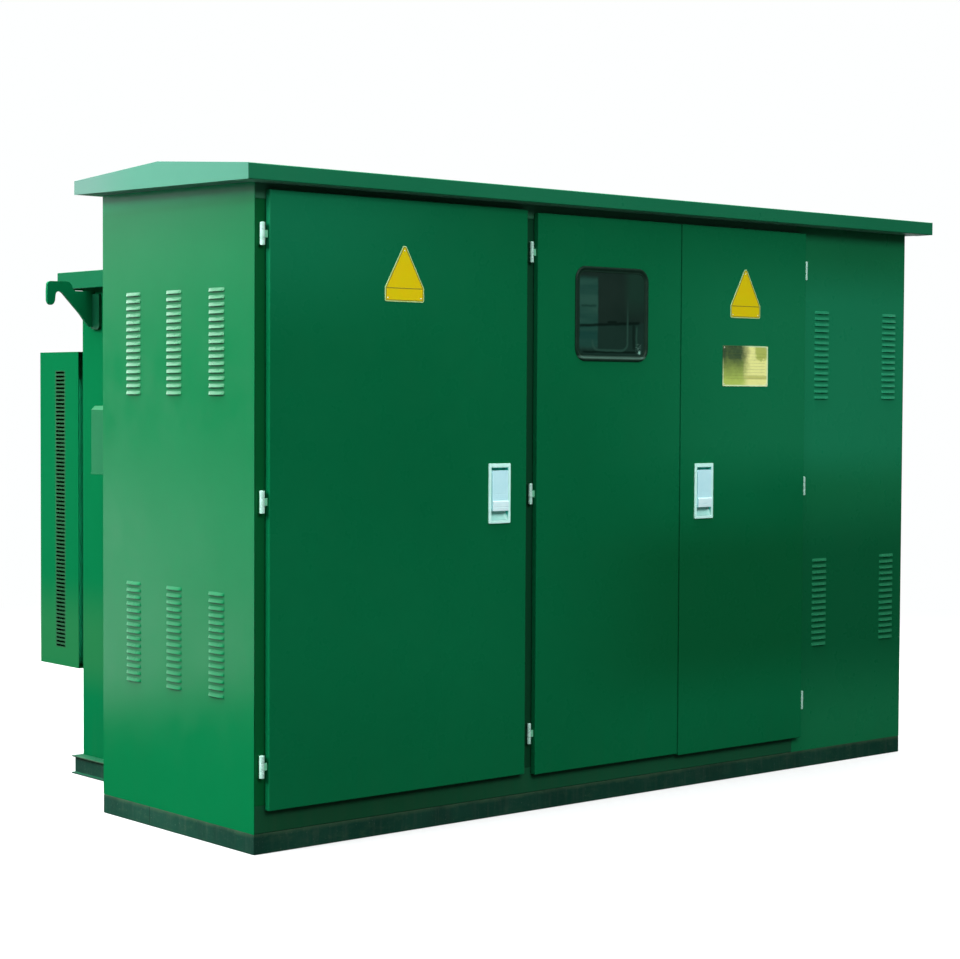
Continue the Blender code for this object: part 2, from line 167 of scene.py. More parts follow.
def paint(name, a, b, rough=(0.30, 0.42), spec=0.20, peel=0.25, wave=0.5, grime=0.18,
          tint=(0.030, 0.050, 0.026), top=0.40, lift=None, light_band=None, bands=()):
    """Sprayed enamel: two near hues in slow patches, fine mottling, orange
    peel, the faint waviness of sheet metal, and a little dust low down.
    The optional arguments after top paint light, sheen, reflections and
    shade into the colour of set areas."""
    m = Mat(name)
    slow = m.span(m.noise(1.15, 2.0, 0.45), 0.34, 0.66)
    col = m.mix(slow, a, b)
    mott = m.span(m.noise(17.0, 4.0, 0.6), 0.3, 0.7, 0.0, 0.10)
    col = m.mix(mott, col, tuple(x * 0.72 for x in a))
    fine = m.span(m.noise(420.0, 2.0, 0.5), 0.3, 0.7, 0.0, 0.05)
    col = m.mix(fine, col, tuple(min(1.0, x * 1.5 + 0.01) for x in b))
    # painted light: lighter towards x0 and above z1
    if lift:
        x0, x1, z0, z1, pale = lift
        near = m.math("MULTIPLY", m.span(m.axis(0), x0 + OX, x1 + OX, 1.0, 0.0, True), m.span(m.axis(2), z0, z1, 0.0, 1.0, True))
        col = m.mix(near, col, pale)
    # painted light, sheen and reflection: a lighter band along one axis
    if light_band:
        way, a0, a1, b0, b1, pale = light_band
        near = m.math("MULTIPLY", m.span(m.axis(way), a0, a1, 0.0, 1.0, True), m.span(m.axis(way), b0, b1, 1.0, 0.0, True))
        col = m.mix(near, col, pale)
    # painted reflections and shade: lighter and darker bands in z, faded in along x
    for x0, x1, z0, z1, z2, z3, tone in bands:
        near = m.math("MULTIPLY", m.span(m.axis(2), z0, z1, 0.0, 1.0, True), m.span(m.axis(2), z2, z3, 1.0, 0.0, True))
        near = m.math("MULTIPLY", near, m.span(m.axis(0), x0 + OX, x1 + OX, 0.0, 1.0, True))
        col = m.mix(near, col, tone)
    streak = m.span(m.noise(1.0, 4.0, 0.6, (46.0, 46.0, 2.6)), 0.38, 0.72)
    low = m.span(m.axis(2), 0.05, top, 1.0, 0.0, True)
    dirt = m.math("MULTIPLY", m.math("MULTIPLY", streak, low), grime)
    col = m.mix(dirt, col, tint)
    m.put("Base Color", col)
    r = m.span(m.noise(9.0, 3.0, 0.55), 0.3, 0.7, rough[0], rough[1])
    m.put("Roughness", m.math("ADD", r, m.math("MULTIPLY", dirt, 0.6), True))
    m.put("Specular IOR Level", spec)
    n = m.bump(m.noise(1.9, 1.0, 0.3), wave, 0.0016)
    n = m.bump(m.noise(340.0, 1.5, 0.45), peel, 0.00022, n)
    m.put("Normal", n)
    return m.m


# wall paint, lighter over the walls' top few centimetres: painted light against the shade under the roof's overhang
BODY = paint("body_enamel_painted_light", (0.0004, 0.1126, 0.0340), (0.0014, 0.1240, 0.0397), (0.13, 0.24), 0.05, grime=0.02,
             light_band=(2, 1.925, 1.988, 9.0, 10.0, (0.0020, 0.2900, 0.1120)))
# louvre hoods, in copies of the wall paint: the upper hoods and the panel's hoods lighter and glossier (painted
# highlight), with a darker band low on the panel (painted shade); the lower hoods duller (painted shade)
HOOD = paint("upper_hood_painted_highlight", (0.0064, 0.1396, 0.0496), (0.0112, 0.1537, 0.0564), (0.20, 0.30), 0.16, wave=0.0, grime=0.0)
HOOD_LOW = paint("lower_hood_painted_shade", (0.0010, 0.1144, 0.0374), (0.0020, 0.1276, 0.0440), (0.24, 0.34), 0.04, wave=0.0, grime=0.0)
HOOD_P = paint("panel_hood_painted_highlight", (0.0120, 0.230, 0.108), (0.0160, 0.250, 0.120), (0.28, 0.38), 0.05, wave=0.0, grime=0.0,
               bands=((2.20, 2.30, 0.12, 0.40, 0.80, 1.06, (0.0100, 0.1520, 0.0640)),))
HOOK = paint("hook_enamel", (0.0012, 0.126, 0.046), (0.0024, 0.138, 0.054), (0.32, 0.44), 0.006, wave=0.0, grime=0.0)
# door paint with painted light: a lighter patch at the upper left of the hv door; and painted reflections: a lighter
# band high and a darker band low on the lv doors
DOOR = paint("door_enamel_painted_light", (0.0005, 0.1109, 0.0376), (0.0011, 0.1222, 0.0423), (0.24, 0.36), 0.09, grime=0.05,
             lift=(0.05, 1.15, 1.45, 1.92, (0.0044, 0.160, 0.067)),
             bands=((1.20, 2.30, 0.98, 1.22, 1.62, 2.00, (0.0052, 0.1580, 0.0620)),
                    (1.00, 1.80, 0.22, 0.50, 0.78, 1.02, (0.0012, 0.0880, 0.0270))))
# sill paint, darker than the doors': painted shade under the proud doors; lighter again towards its right end: painted
# light
FRAME = paint("sill_enamel_painted_shade", (0.0040, 0.054, 0.021), (0.0062, 0.064, 0.027), (0.30, 0.42), 0.12, wave=0.2, grime=0.12,
              lift=(1.6, 0.5, -1.0, -0.5, (0.0062, 0.078, 0.033)))
# post paints, darker than the doors': painted shade beside the proud doors
POST = paint("post_enamel_painted_shade", (0.0028, 0.0395, 0.0150), (0.0043, 0.0470, 0.0197), (0.30, 0.42), 0.10, wave=0.2, grime=0.08)
POST_L = paint("corner_post_painted_shade", (0.0004, 0.070, 0.017), (0.0010, 0.080, 0.021), (0.30, 0.42), 0.06, wave=0.2, grime=0.04)
# header and the roof's underside, much paler than the paint round them: painted light in the shade under the overhang
HEADER = paint("header_painted_light", (0.026, 0.140, 0.072), (0.034, 0.160, 0.084), (0.34, 0.46), 0.10, wave=0.2, grime=0.0)
SOFFIT = paint("soffit_painted_light", (0.080, 0.290, 0.175), (0.100, 0.320, 0.200), (0.34, 0.46), 0.10, wave=0.2, grime=0.0)
# fixed panel paint with painted reflections: a lighter band high and a darker band low
PANEL = paint("panel_enamel_painted_reflection", (0.0034, 0.1297, 0.0461), (0.0047, 0.1429, 0.0526), (0.24, 0.36), 0.12, grime=0.02,
              bands=((2.20, 2.30, 1.00, 1.20, 1.68, 1.90, (0.0072, 0.1820, 0.0790)),
                     (2.20, 2.30, 0.12, 0.48, 0.76, 1.06, (0.0014, 0.0900, 0.0310))))
# hook pads, in a darker copy of the hook paint: painted shade under the tank cover
PAD = paint("pad_painted_shade", (0.0020, 0.048, 0.020), (0.0040, 0.058, 0.026), (0.36, 0.48), 0.03, wave=0.0, grime=0.0)
# radiator fins, in a far lighter copy of the tank paint: painted light in the shaded gap between guard and tank
FINS = paint("fin_painted_light", (0.0040, 0.300, 0.115), (0.0070, 0.340, 0.130), (0.36, 0.48), 0.05, wave=0.0, grime=0.0)
ROOF = paint("roof_enamel", (0.0043, 0.1350, 0.0581), (0.0077, 0.1458, 0.0651), (0.26, 0.36), 0.20, wave=0.15, grime=0.0)
# gables, in a paler copy of the roof paint and paler still towards the back: painted sheen
GABLE = paint("gable_enamel_painted_sheen", (0.0376, 0.1741, 0.1123), (0.0489, 0.1903, 0.1281), (0.30, 0.42), 0.05, wave=0.08, grime=0.0,
              light_band=(1, 0.50 + OY, 0.90 + OY, 9.0, 10.0, (0.0840, 0.1870, 0.1480)))
# tank paint with a lighter band from about 0.3 to 0.7 m up: painted reflection
TANK = paint("tank_enamel_painted_reflection", (0.0003, 0.1015, 0.0317), (0.0009, 0.1101, 0.0361), (0.32, 0.44), 0.001, grime=0.08,
             light_band=(2, 0.26, 0.42, 0.50, 0.72, (0.0110, 0.1160, 0.0380)))
COVER_TOP = paint("cover_enamel", (0.0014, 0.0915, 0.0352), (0.0025, 0.1003, 0.0405), (0.32, 0.44), 0.008, grime=0.0)
# the bars between the guard's slots, in a greyer, darker green
TANK_BAR = paint("guard_slot_bar_enamel", (0.0116, 0.0724, 0.0285), (0.0168, 0.0828, 0.0342), (0.42, 0.55), 0.01, wave=0.0, grime=0.0)
# terminal box, in a paler copy of the tank paint: painted sheen on its face
TANK_BOX = paint("box_enamel_painted_sheen", (0.0080, 0.1118, 0.0432), (0.0160, 0.1273, 0.0515), (0.34, 0.46), 0.012, wave=0.1, grime=0.0)


def plinth(name="plinth_enamel", ledge=None):
    """Dull dark green over rolled steel, dusty, with a ragged, lighter brownish
    line along its top edge and faint vertical weld joints. Given a top
    colour, faces looking up take it: a painted reflection."""
    m = Mat(name)
    col = m.mix(m.span(m.noise(3.2, 4.0, 0.6), 0.32, 0.68), (0.0040, 0.034, 0.021), (0.0085, 0.048, 0.030))
    rust = m.span(m.noise(24.0, 5.0, 0.65, (1.0, 1.0, 2.2)), 0.52, 0.74)
    edge = m.span(m.math("ADD", m.axis(2), m.math("MULTIPLY", m.noise(30.0, 3.0), -0.016)), 0.040, 0.051)
    col = m.mix(m.math("MULTIPLY", m.math("MAXIMUM", edge, m.math("MULTIPLY", rust, 0.45)), 0.55), col,
                (0.044, 0.088, 0.046))
    patch = m.span(m.noise(1.0, 3.0, 0.6, (7.0, 7.0, 3.0)), 0.52, 0.70)
    col = m.mix(m.math("MULTIPLY", patch, 0.45), col, (0.006, 0.026, 0.018))
    run = m.span(m.noise(1.0, 4.0, 0.6, (60.0, 60.0, 5.0)), 0.50, 0.78)
    col = m.mix(m.math("MULTIPLY", run, 0.24), col, (0.060, 0.080, 0.062))
    spots = m.span(m.noise(210.0, 2.0, 0.5), 0.66, 0.74)
    col = m.mix(m.math("MULTIPLY", spots, 0.35), col, (0.15, 0.21, 0.18))
    seam = m.span(m.math("ABSOLUTE", m.math("SUBTRACT", m.axis(1), 0.575 + OY)), 0.0012, 0.0032, 0.6, 0.0)
    col = m.mix(seam, col, (0.003, 0.014, 0.010))
    # painted reflection: faces looking up take the given lighter green
    if ledge:
        geo = m.t.nodes.new("ShaderNodeNewGeometry")
        part = m.t.nodes.new("ShaderNodeSeparateXYZ")
        m.t.links.new(geo.outputs["True Normal"], part.inputs[0])
        col = m.mix(m.span(part.outputs[2], 0.80, 0.95, 0.0, 0.85), col, ledge)
    m.put("Base Color", col)
    m.put("Roughness", m.span(m.noise(14.0, 3.0), 0.3, 0.7, 0.48, 0.72))
    m.put("Specular IOR Level", 0.03)
    n = m.bump(m.noise(36.0, 4.0, 0.6), 0.35, 0.0012)
    n = m.bump(m.noise(420.0, 2.0), 0.3, 0.0003, n)
    m.put("Normal", n)
    return m.m


PLINTH = plinth()
# the skid's top flange gets a painted reflection of the green paint above it
SKID = plinth("skid_enamel_painted_reflection", (0.0060, 0.0900, 0.0400))


def zinc(name="bright_zinc"):
    """Zinc-plated steel with turning marks and a bluish to yellowish cast."""
    m = Mat(name)
    col = m.mix(m.span(m.noise(60.0, 3.0), 0.35, 0.65), (0.60, 0.92, 0.80), (0.48, 0.82, 0.68))
    col = m.mix(m.math("MULTIPLY", m.span(m.noise(150.0, 4.0, 0.7), 0.55, 0.75), 0.4), col, (0.26, 0.48, 0.38))
    m.put("Base Color", col)
    m.put("Metallic", 0.35)
    m.put("Roughness", m.span(m.noise(90.0, 3.0), 0.3, 0.7, 0.22, 0.42))
    m.put("Normal", m.bump(m.noise(1.0, 2.0, 0.5, (90.0, 90.0, 1400.0)), 0.25, 0.0002))
    return m.m


ZINC = zinc()


def tab_paint():
    """The hinge tab: zinc with thin green overspray."""
    m = Mat("hinge_tab_oversprayed")
    col = m.mix(m.span(m.noise(110.0, 4.0, 0.65), 0.35, 0.65), (0.10, 0.42, 0.24), (0.20, 0.56, 0.36))
    m.put("Base Color", col)
    m.put("Roughness", m.span(m.noise(90.0, 3.0), 0.3, 0.7, 0.30, 0.50))
    m.put("Specular IOR Level", 0.4)
    m.put("Normal", m.bump(m.noise(300.0, 2.0), 0.25, 0.0002))
    return m.m


TAB = tab_paint()


def lock_paint(name, a, b, rough=(0.26, 0.40), metal=0.15):
    m = Mat(name)
    col = m.mix(m.span(m.noise(26.0, 3.0), 0.3, 0.7), a, b)
    col = m.mix(m.math("MULTIPLY", m.span(m.noise(1.0, 3.0, 0.6, (900.0, 900.0, 40.0)), 0.45, 0.7), 0.12), col,
                tuple(x * 0.75 for x in a))
    m.put("Base Color", col)
    m.put("Metallic", metal)
    m.put("Roughness", m.span(m.noise(45.0, 3.0), 0.3, 0.7, rough[0], rough[1]))
    n = m.bump(m.noise(520.0, 2.0), 0.22, 0.00018)
    m.put("Normal", n)
    return m.m


# lock finishes: the lip is a lighter copy of the lever's tone (painted highlight); the finger ramp and the pocket are
# darker copies of the bezel's (painted shade), the pocket darkest
LOCK_FRAME = lock_paint("lock_bezel_satin", (0.58, 1.0, 0.88), (0.66, 1.0, 0.94), metal=0.0)
LOCK_PLATE = lock_paint("lock_lever_satin", (0.52, 0.88, 0.95), (0.58, 0.92, 0.98), metal=0.0)
LOCK_LIP = lock_paint("lock_lip_painted_highlight", (0.66, 0.92, 0.95), (0.74, 0.96, 0.98), metal=0.0)
LOCK_RAMP = lock_paint("lock_recess_painted_shade", (0.36, 0.76, 0.68), (0.44, 0.84, 0.76), metal=0.0)
LOCK_DARK = lock_paint("lock_pocket_painted_shade", (0.020, 0.66, 0.54), (0.032, 0.74, 0.62), metal=0.0)


def sign_mats():
    y = Mat("sign_enamel_yellow")
    col = y.mix(y.span(y.noise(22.0, 3.0, 0.5), 0.35, 0.65), (0.71, 0.535, 0.0005), (0.675, 0.555, 0.001))
    col = y.mix(y.math("MULTIPLY", y.span(y.noise(9.0, 2.0), 0.5, 0.75), 0.35), col, (0.80, 0.55, 0.002))
    y.put("Base Color", col)
    y.put("Specular IOR Level", 0.25)
    y.put("Roughness", y.span(y.noise(50.0, 2.0), 0.3, 0.7, 0.28, 0.40))
    y.put("Normal", y.bump(y.noise(260.0, 2.0), 0.2, 0.0002))
    r = Mat("sign_rim_pale")
    r.put("Base Color", r.mix(r.span(r.noise(80.0, 3.0), 0.3, 0.7), (0.42, 0.66, 0.24), (0.52, 0.74, 0.36)))
    r.put("Roughness", r.span(r.noise(120.0, 2.0), 0.3, 0.7, 0.30, 0.45))
    k = Mat("sign_line_dark")
    k.put("Base Color", k.mix(k.span(k.noise(90.0, 3.0), 0.3, 0.7), (0.26, 0.22, 0.003), (0.32, 0.27, 0.006)))
    k.put("Roughness", k.span(k.noise(120.0, 2.0), 0.3, 0.7, 0.40, 0.55))
    a = Mat("rivet_aluminium")
    a.put("Base Color", a.mix(a.span(a.noise(200.0, 3.0), 0.3, 0.7), (0.80, 0.82, 0.62), (0.88, 0.90, 0.76)))
    a.put("Metallic", 0.5)
    a.put("Roughness", a.span(a.noise(300.0, 2.0), 0.3, 0.7, 0.20, 0.34))
    return y.m, r.m, k.m, a.m


YELLOW, RIM, LINE, RIVET = sign_mats()


def brass():
    """Brushed brass with plain engraved rules, and the uneven light that a
    slightly bent plate shows: bright at the right, dull at the upper left."""
    m = Mat("nameplate_brass")
    x = m.math("SUBTRACT", m.axis(0), PLATE_C[0] + OX)
    z = m.math("SUBTRACT", m.axis(2), PLATE_C[1])
    wob = m.math("MULTIPLY", m.math("SUBTRACT", m.noise(34.0, 4.0, 0.7), 0.5), 0.045)
    side = m.span(m.math("ADD", x, wob), -0.024, 0.028, smooth=True)
    lower = m.span(m.math("ADD", z, wob), -0.058, 0.032, 1.0, 0.0)
    dull = m.mix(lower, (0.044, 0.092, 0.038), (0.52, 0.68, 0.13))
    col = m.mix(side, dull, (0.98, 1.0, 0.37))
    right_top = m.math("MULTIPLY", m.span(m.math("ADD", x, wob), 0.045, 0.060), m.span(m.math("ADD", z, wob), 0.020, 0.030))
    col = m.mix(m.math("MULTIPLY", right_top, 0.75), col, (0.34, 0.44, 0.045))
    belt = m.math("MULTIPLY", m.math("MULTIPLY", m.span(z, -0.048, -0.044), m.span(z, -0.036, -0.032, 1.0, 0.0)), side)
    col = m.mix(m.math("MULTIPLY", belt, 0.55), col, (0.42, 0.44, 0.06))
    cloud = m.span(m.noise(60.0, 4.0, 0.65), 0.46, 0.70)
    col = m.mix(m.math("MULTIPLY", cloud, 0.16), col, (0.40, 0.54, 0.13))
    # ruled lines, 11 mm apart inside a margin
    row = m.math("ABSOLUTE", m.math("SUBTRACT", m.math("FRACT", m.math("DIVIDE", z, 0.011)), 0.5))
    ax = m.math("ABSOLUTE", x)
    az = m.math("ABSOLUTE", z)
    inx = m.math("LESS_THAN", ax, PLATE_W / 2 - 0.016)
    inz = m.math("LESS_THAN", az, PLATE_H / 2 - 0.020)
    rule = m.math("MULTIPLY", m.math("MULTIPLY", m.math("GREATER_THAN", row, 0.445), inx), inz)
    mid = m.math("MULTIPLY", m.math("LESS_THAN", m.math("ABSOLUTE", m.math("ADD", x, 0.012)), 0.0006), inz)
    rule = m.math("MAXIMUM", rule, mid)
    col = m.mix(m.math("MULTIPLY", rule, 0.40), col, (0.14, 0.18, 0.03))
    # the bent rim catches the light at the right and along the bottom
    rim = m.math("MAXIMUM", m.math("GREATER_THAN", x, PLATE_W / 2 - 0.0065), m.math("LESS_THAN", z, 0.0052 - PLATE_H / 2))
    rim = m.math("MAXIMUM", rim, m.math("MULTIPLY", m.math("GREATER_THAN", z, PLATE_H / 2 - 0.0042), side))
    rim = m.math("MAXIMUM", rim, m.math("MULTIPLY", m.math("LESS_THAN", x, 0.0045 - PLATE_W / 2), lower))
    col = m.mix(m.math("MULTIPLY", rim, 0.75), col, (0.78, 0.98, 0.60))
    m.put("Base Color", col)
    m.put("Metallic", 0.08)
    m.put("Roughness", m.span(m.noise(1.0, 3.0, 0.6, (30.0, 30.0, 900.0)), 0.3, 0.7, 0.24, 0.42))
    n = m.bump(m.noise(7.0, 2.0), 0.5, 0.0015)
    n = m.bump(m.math("SUBTRACT", 1.0, rule), 0.5, 0.0002, n)
    m.put("Normal", n)
    return m.m


BRASS = brass()


def rubber():
    m = Mat("gasket_rubber")
    m.put("Base Color", m.mix(m.span(m.noise(40.0, 3.0), 0.3, 0.7), (0.005, 0.022, 0.013), (0.008, 0.030, 0.018)))
    # painted highlight: a lighter band low in the gasket, where its lobe faces up
    highlight_top = m.span(m.axis(2), WIN_C[1] - 0.1425, WIN_C[1] - 0.1370, 1.0, 0.0, True)
    edge = m.span(m.axis(2), WIN_C[1] - 0.1500, WIN_C[1] - 0.1455, 0.0, 1.0, True)
    m.put("Base Color", m.mix(m.math("MULTIPLY", m.math("MULTIPLY", highlight_top, edge), 0.8), m.mix(
        m.span(m.noise(40.0, 3.0), 0.3, 0.7), (0.005, 0.022, 0.013), (0.008, 0.030, 0.018)), (0.070, 0.150, 0.115)))
    m.put("Roughness", m.span(m.noise(60.0, 3.0), 0.3, 0.7, 0.38, 0.52))
    m.put("Specular IOR Level", 0.12)
    m.put("Normal", m.bump(m.noise(380.0, 2.0), 0.25, 0.0002))
    return m.m


RUBBER = rubber()


def pane():
    """Dark glass: a lighter upright band at the left, two dark rails and the
    round-cornered edge of what stands behind."""
    m = Mat("window_glass_dark")
    cx, cz = WIN_C[0] + OX, WIN_C[1]
    wob = m.math("MULTIPLY", m.math("SUBTRACT", m.noise(26.0, 2.0), 0.5), 0.006)
    x = m.math("ADD", m.math("SUBTRACT", m.axis(0), cx), wob)
    z = m.math("ADD", m.math("SUBTRACT", m.axis(2), cz), wob)

    def band(v, a, b, soft):
        return m.math("MULTIPLY", m.span(v, a - soft, a + soft), m.span(v, b - soft, b + soft, 1.0, 0.0))

    col = m.mix(m.span(m.noise(9.0, 2.0), 0.3, 0.7), (0.0075, 0.0205, 0.0150), (0.0110, 0.0260, 0.0195))
    low = m.span(m.math("SUBTRACT", z, m.math("MULTIPLY", x, 0.05)), -0.036, -0.030, 1.0, 0.0)
    col = m.mix(m.math("MULTIPLY", low, 0.5), col, (0.0090, 0.036, 0.026))
    right = m.math("MULTIPLY", m.span(x, 0.052, 0.085), m.span(z, -0.02, 0.06))
    col = m.mix(m.math("MULTIPLY", right, 0.6), col, (0.010, 0.044, 0.027))
    left = m.math("MULTIPLY", band(x, -0.150, -0.066, 0.0035), band(z, -0.112, 0.120, 0.008))
    tone = m.mix(m.span(m.noise(1.0, 2.0, 0.5, (4.0, 4.0, 34.0)), 0.36, 0.64), (0.012, 0.058, 0.043), (0.022, 0.080, 0.058))
    tone = m.mix(m.math("MULTIPLY", band(z, -0.086, -0.058, 0.006), 0.7), tone, (0.006, 0.048, 0.038))
    col = m.mix(left, col, tone)
    # two rails; the lower one steps up in the middle and turns down at the right
    lean = m.math("SUBTRACT", z, m.math("MULTIPLY", x, 0.05))
    rail = m.math("MULTIPLY", band(lean, -0.0375, -0.0280, 0.0025), band(x, -0.150, 0.128, 0.004))
    step = m.math("MULTIPLY", band(lean, -0.0300, -0.0215, 0.0022), band(x, -0.022, 0.022, 0.004))
    drop = m.math("MULTIPLY", band(x, 0.095, 0.107, 0.0025), band(z, -0.116, -0.028, 0.004))
    lip = m.math("MULTIPLY", band(z, -0.1290, -0.1225, 0.0022), band(x, -0.134, 0.112, 0.006))
    rail = m.math("MAXIMUM", m.math("MAXIMUM", rail, step), m.math("MAXIMUM", m.math("MULTIPLY", drop, 0.7), lip))
    col = m.mix(m.math("MULTIPLY", rail, 0.85), col, (0.0015, 0.0075, 0.005))
    rail2 = m.math("MULTIPLY", band(z, 0.0230, 0.0300, 0.003), band(x, -0.142, -0.074, 0.005))
    col = m.mix(m.math("MULTIPLY", rail2, 0.65), col, (0.004, 0.026, 0.018))
    # round-cornered pale outline, along the bottom and up the right side
    ax = m.math("SUBTRACT", m.math("ABSOLUTE", m.math("ADD", x, 0.009)), 0.054)
    az = m.math("SUBTRACT", m.math("ABSOLUTE", m.math("ADD", z, 0.0075)), 0.085)
    qx = m.math("MAXIMUM", ax, 0.0)
    qz = m.math("MAXIMUM", az, 0.0)
    dist = m.math("SQRT", m.math("ADD", m.math("MULTIPLY", qx, qx), m.math("MULTIPLY", qz, qz)))
    shown = m.math("MAXIMUM", m.span(z, -0.094, -0.080, 1.0, 0.0),
                   m.math("MULTIPLY", m.span(x, 0.020, 0.040), m.span(z, -0.036, 0.060, 1.0, 0.0)))
    line = m.math("MULTIPLY", band(dist, 0.0235, 0.0310, 0.0026), shown)
    col = m.mix(m.math("MULTIPLY", line, 0.60), col, (0.026, 0.080, 0.058))
    post = m.math("MULTIPLY", band(x, 0.112, 0.119, 0.0020), band(z, -0.112, -0.040, 0.006))
    col = m.mix(m.math("MULTIPLY", post, 0.55), col, (0.024, 0.082, 0.056))
    glint = m.math("SUBTRACT", 1.0, m.math("MULTIPLY", m.math("SQRT", m.math("ADD",
                   m.math("POWER", m.math("SUBTRACT", x, 0.1285), 2.0),
                   m.math("POWER", m.math("ADD", z, 0.1255), 2.0))), 125.0), True)
    speck = m.span(m.noise(330.0, 1.0, 0.4), 0.60, 0.70)
    zone = m.math("MULTIPLY", band(x, 0.112, 0.136, 0.004), band(z, -0.128, -0.098, 0.004))
    glint = m.math("MAXIMUM", glint, m.math("MULTIPLY", speck, zone))
    col = m.mix(glint, col, (0.30, 0.62, 0.50))
    m.put("Base Color", col)
    m.put("Roughness", m.span(m.noise(12.0, 3.0), 0.3, 0.7, 0.03, 0.07))
    m.put("Specular IOR Level", 0.16)
    m.put("Normal", m.bump(m.noise(5.0, 1.0), 0.15, 0.001))
    return m.m


GLASS = pane()

FINISH = {"body_paint": BODY, "roof_paint": ROOF, "plinth_paint": PLINTH, "rubber": RUBBER,
          "glass": GLASS, "brass": BRASS, "sign_yellow": YELLOW, "lock_metal": LOCK_FRAME}
for sub in frame["record"]["subparts"]:
    ob = NODES[sub["node"]]
    mat = FINISH[sub["material_slot"]]
    if sub["node"].startswith(("tank_", "radiator", "lifting", "terminal")):
        # the fins take the lighter fin paint: painted light
        mat = FINS if sub["node"] == "radiator_fins" else TANK
    ob.data.materials.clear()
    ob.data.materials.append(mat)


# ------------------------------------------------------------ mesh helpers
def place(axis, u, v, w):
    return {"x": (w, u, v), "y": (u, w, v), "z": (u, v, w)}[axis]


def merge(bm, tmp, mat=0):
    tmp.verts.index_update()
    vs = [bm.verts.new(v.co) for v in tmp.verts]
    for f in tmp.faces:
        bm.faces.new([vs[v.index] for v in f.verts]).material_index = mat
    tmp.free()


def bevel_sharp(tmp, width, segs, angle=25.0):
    if width <= 0:
        return
    tmp.normal_update()
    edges = [e for e in tmp.edges if len(e.link_faces) == 2 and e.calc_face_angle(0.0) > math.radians(angle)]
    if edges:
        bmesh.ops.bevel(tmp, geom=edges, offset=width, offset_type="OFFSET", segments=segs,
                        profile=0.5, affect="EDGES", clamp_overlap=True)


def prism(bm, outline, axis, lo, hi, bevel=0.0, segs=2, mat=0):
    """An outline with a thickness and softened edges."""
    tmp = bmesh.new()
    a = [tmp.verts.new(place(axis, u, v, lo)) for u, v in outline]
    b = [tmp.verts.new(place(axis, u, v, hi)) for u, v in outline]
    n = len(a)
    tmp.faces.new(a)
    tmp.faces.new(b[::-1])
    for i in range(n):
        tmp.faces.new((a[i], b[i], b[(i + 1) % n], a[(i + 1) % n]))
    bmesh.ops.recalc_face_normals(tmp, faces=tmp.faces)
    bevel_sharp(tmp, bevel, segs)
    merge(bm, tmp, mat)


def slab(bm, x0, x1, y0, y1, z0, z1, bevel=0.0, segs=2, mat=0):
    prism(bm, [(x0, z0), (x1, z0), (x1, z1), (x0, z1)], "y", y0, y1, bevel, segs, mat)


def lathe(bm, profile, at, axis, sides=24, mat=0):
    """A turned shape: (radius, distance along the axis) from end to end."""
    tmp = bmesh.new()
    rings = []
    for r, h in profile:
        if r < 1e-7:
            rings.append([tmp.verts.new(place(axis, 0.0, 0.0, h))])
        else:
            rings.append([tmp.verts.new(place(axis, r * math.cos(2 * math.pi * k / sides),
                                              r * math.sin(2 * math.pi * k / sides), h)) for k in range(sides)])
    for p, q in zip(rings, rings[1:]):
        for k in range(sides):
            j = (k + 1) % sides
            face = [p[k % len(p)], p[j % len(p)], q[j % len(q)], q[k % len(q)]]
            face = list(dict.fromkeys(face))
            if len(face) > 2:
                tmp.faces.new(face)
    for ring in (rings[0], rings[-1]):
        if len(ring) > 2:
            tmp.faces.new(ring)
    bmesh.ops.recalc_face_normals(tmp, faces=tmp.faces)
    for v in tmp.verts:
        v.co += Vector(at)
    merge(bm, tmp, mat)


def stack(bm, loops, mats=(0,), closed=False, cap=False):
    """Loops of equal count joined in order by quads."""
    rows = [[bm.verts.new(p) for p in loop] for loop in loops]
    pairs = list(zip(rows, rows[1:])) + ([(rows[-1], rows[0])] if closed else [])
    n = len(rows[0])
    for i, (p, q) in enumerate(pairs):
        for k in range(n):
            bm.faces.new((p[k], p[(k + 1) % n], q[(k + 1) % n], q[k])).material_index = mats[min(i, len(mats) - 1)]
    if cap:
        bm.faces.new(rows[-1]).material_index = mats[-1]
        bm.faces.new(rows[0][::-1]).material_index = mats[0]


def rounded(cx, cy, w, h, r, n=6):
    pts = []
    r = max(r, 1e-4)
    for i, (sx, sy) in enumerate(((1, 1), (-1, 1), (-1, -1), (1, -1))):
        for k in range(n + 1):
            a = math.pi / 2 * (i + k / n)
            pts.append((cx + sx * (w / 2 - r) + r * math.cos(a), cy + sy * (h / 2 - r) + r * math.sin(a)))
    return pts


def fillet(pts, radius, seg=4, closed=False):
    """A polyline with its corners rounded."""
    P = [Vector(p) for p in pts]
    n = len(P)
    out = []
    for i in range(n):
        if not closed and i in (0, n - 1):
            out.append(P[i])
            continue
        a, b, c = P[i - 1], P[i], P[(i + 1) % n]
        r = radius[i] if isinstance(radius, (list, tuple)) else radius
        u, v = (a - b).normalized(), (c - b).normalized()
        ang = u.angle(v)
        if r <= 0 or math.pi - ang < 0.02:
            out.append(b)
            continue
        d = min(r / math.tan(ang / 2), 0.48 * (a - b).length, 0.48 * (c - b).length)
        r = d * math.tan(ang / 2)
        centre = b + (u + v).normalized() * (r / math.sin(ang / 2))
        s, e = b + u * d - centre, b + v * d - centre
        a0 = math.atan2(s.y, s.x)
        turn = math.atan2(e.y, e.x) - a0
        turn = (turn + math.pi) % (2 * math.pi) - math.pi
        for k in range(seg + 1):
            t = a0 + turn * k / seg
            out.append(centre + Vector((math.cos(t), math.sin(t))) * r)
    return out


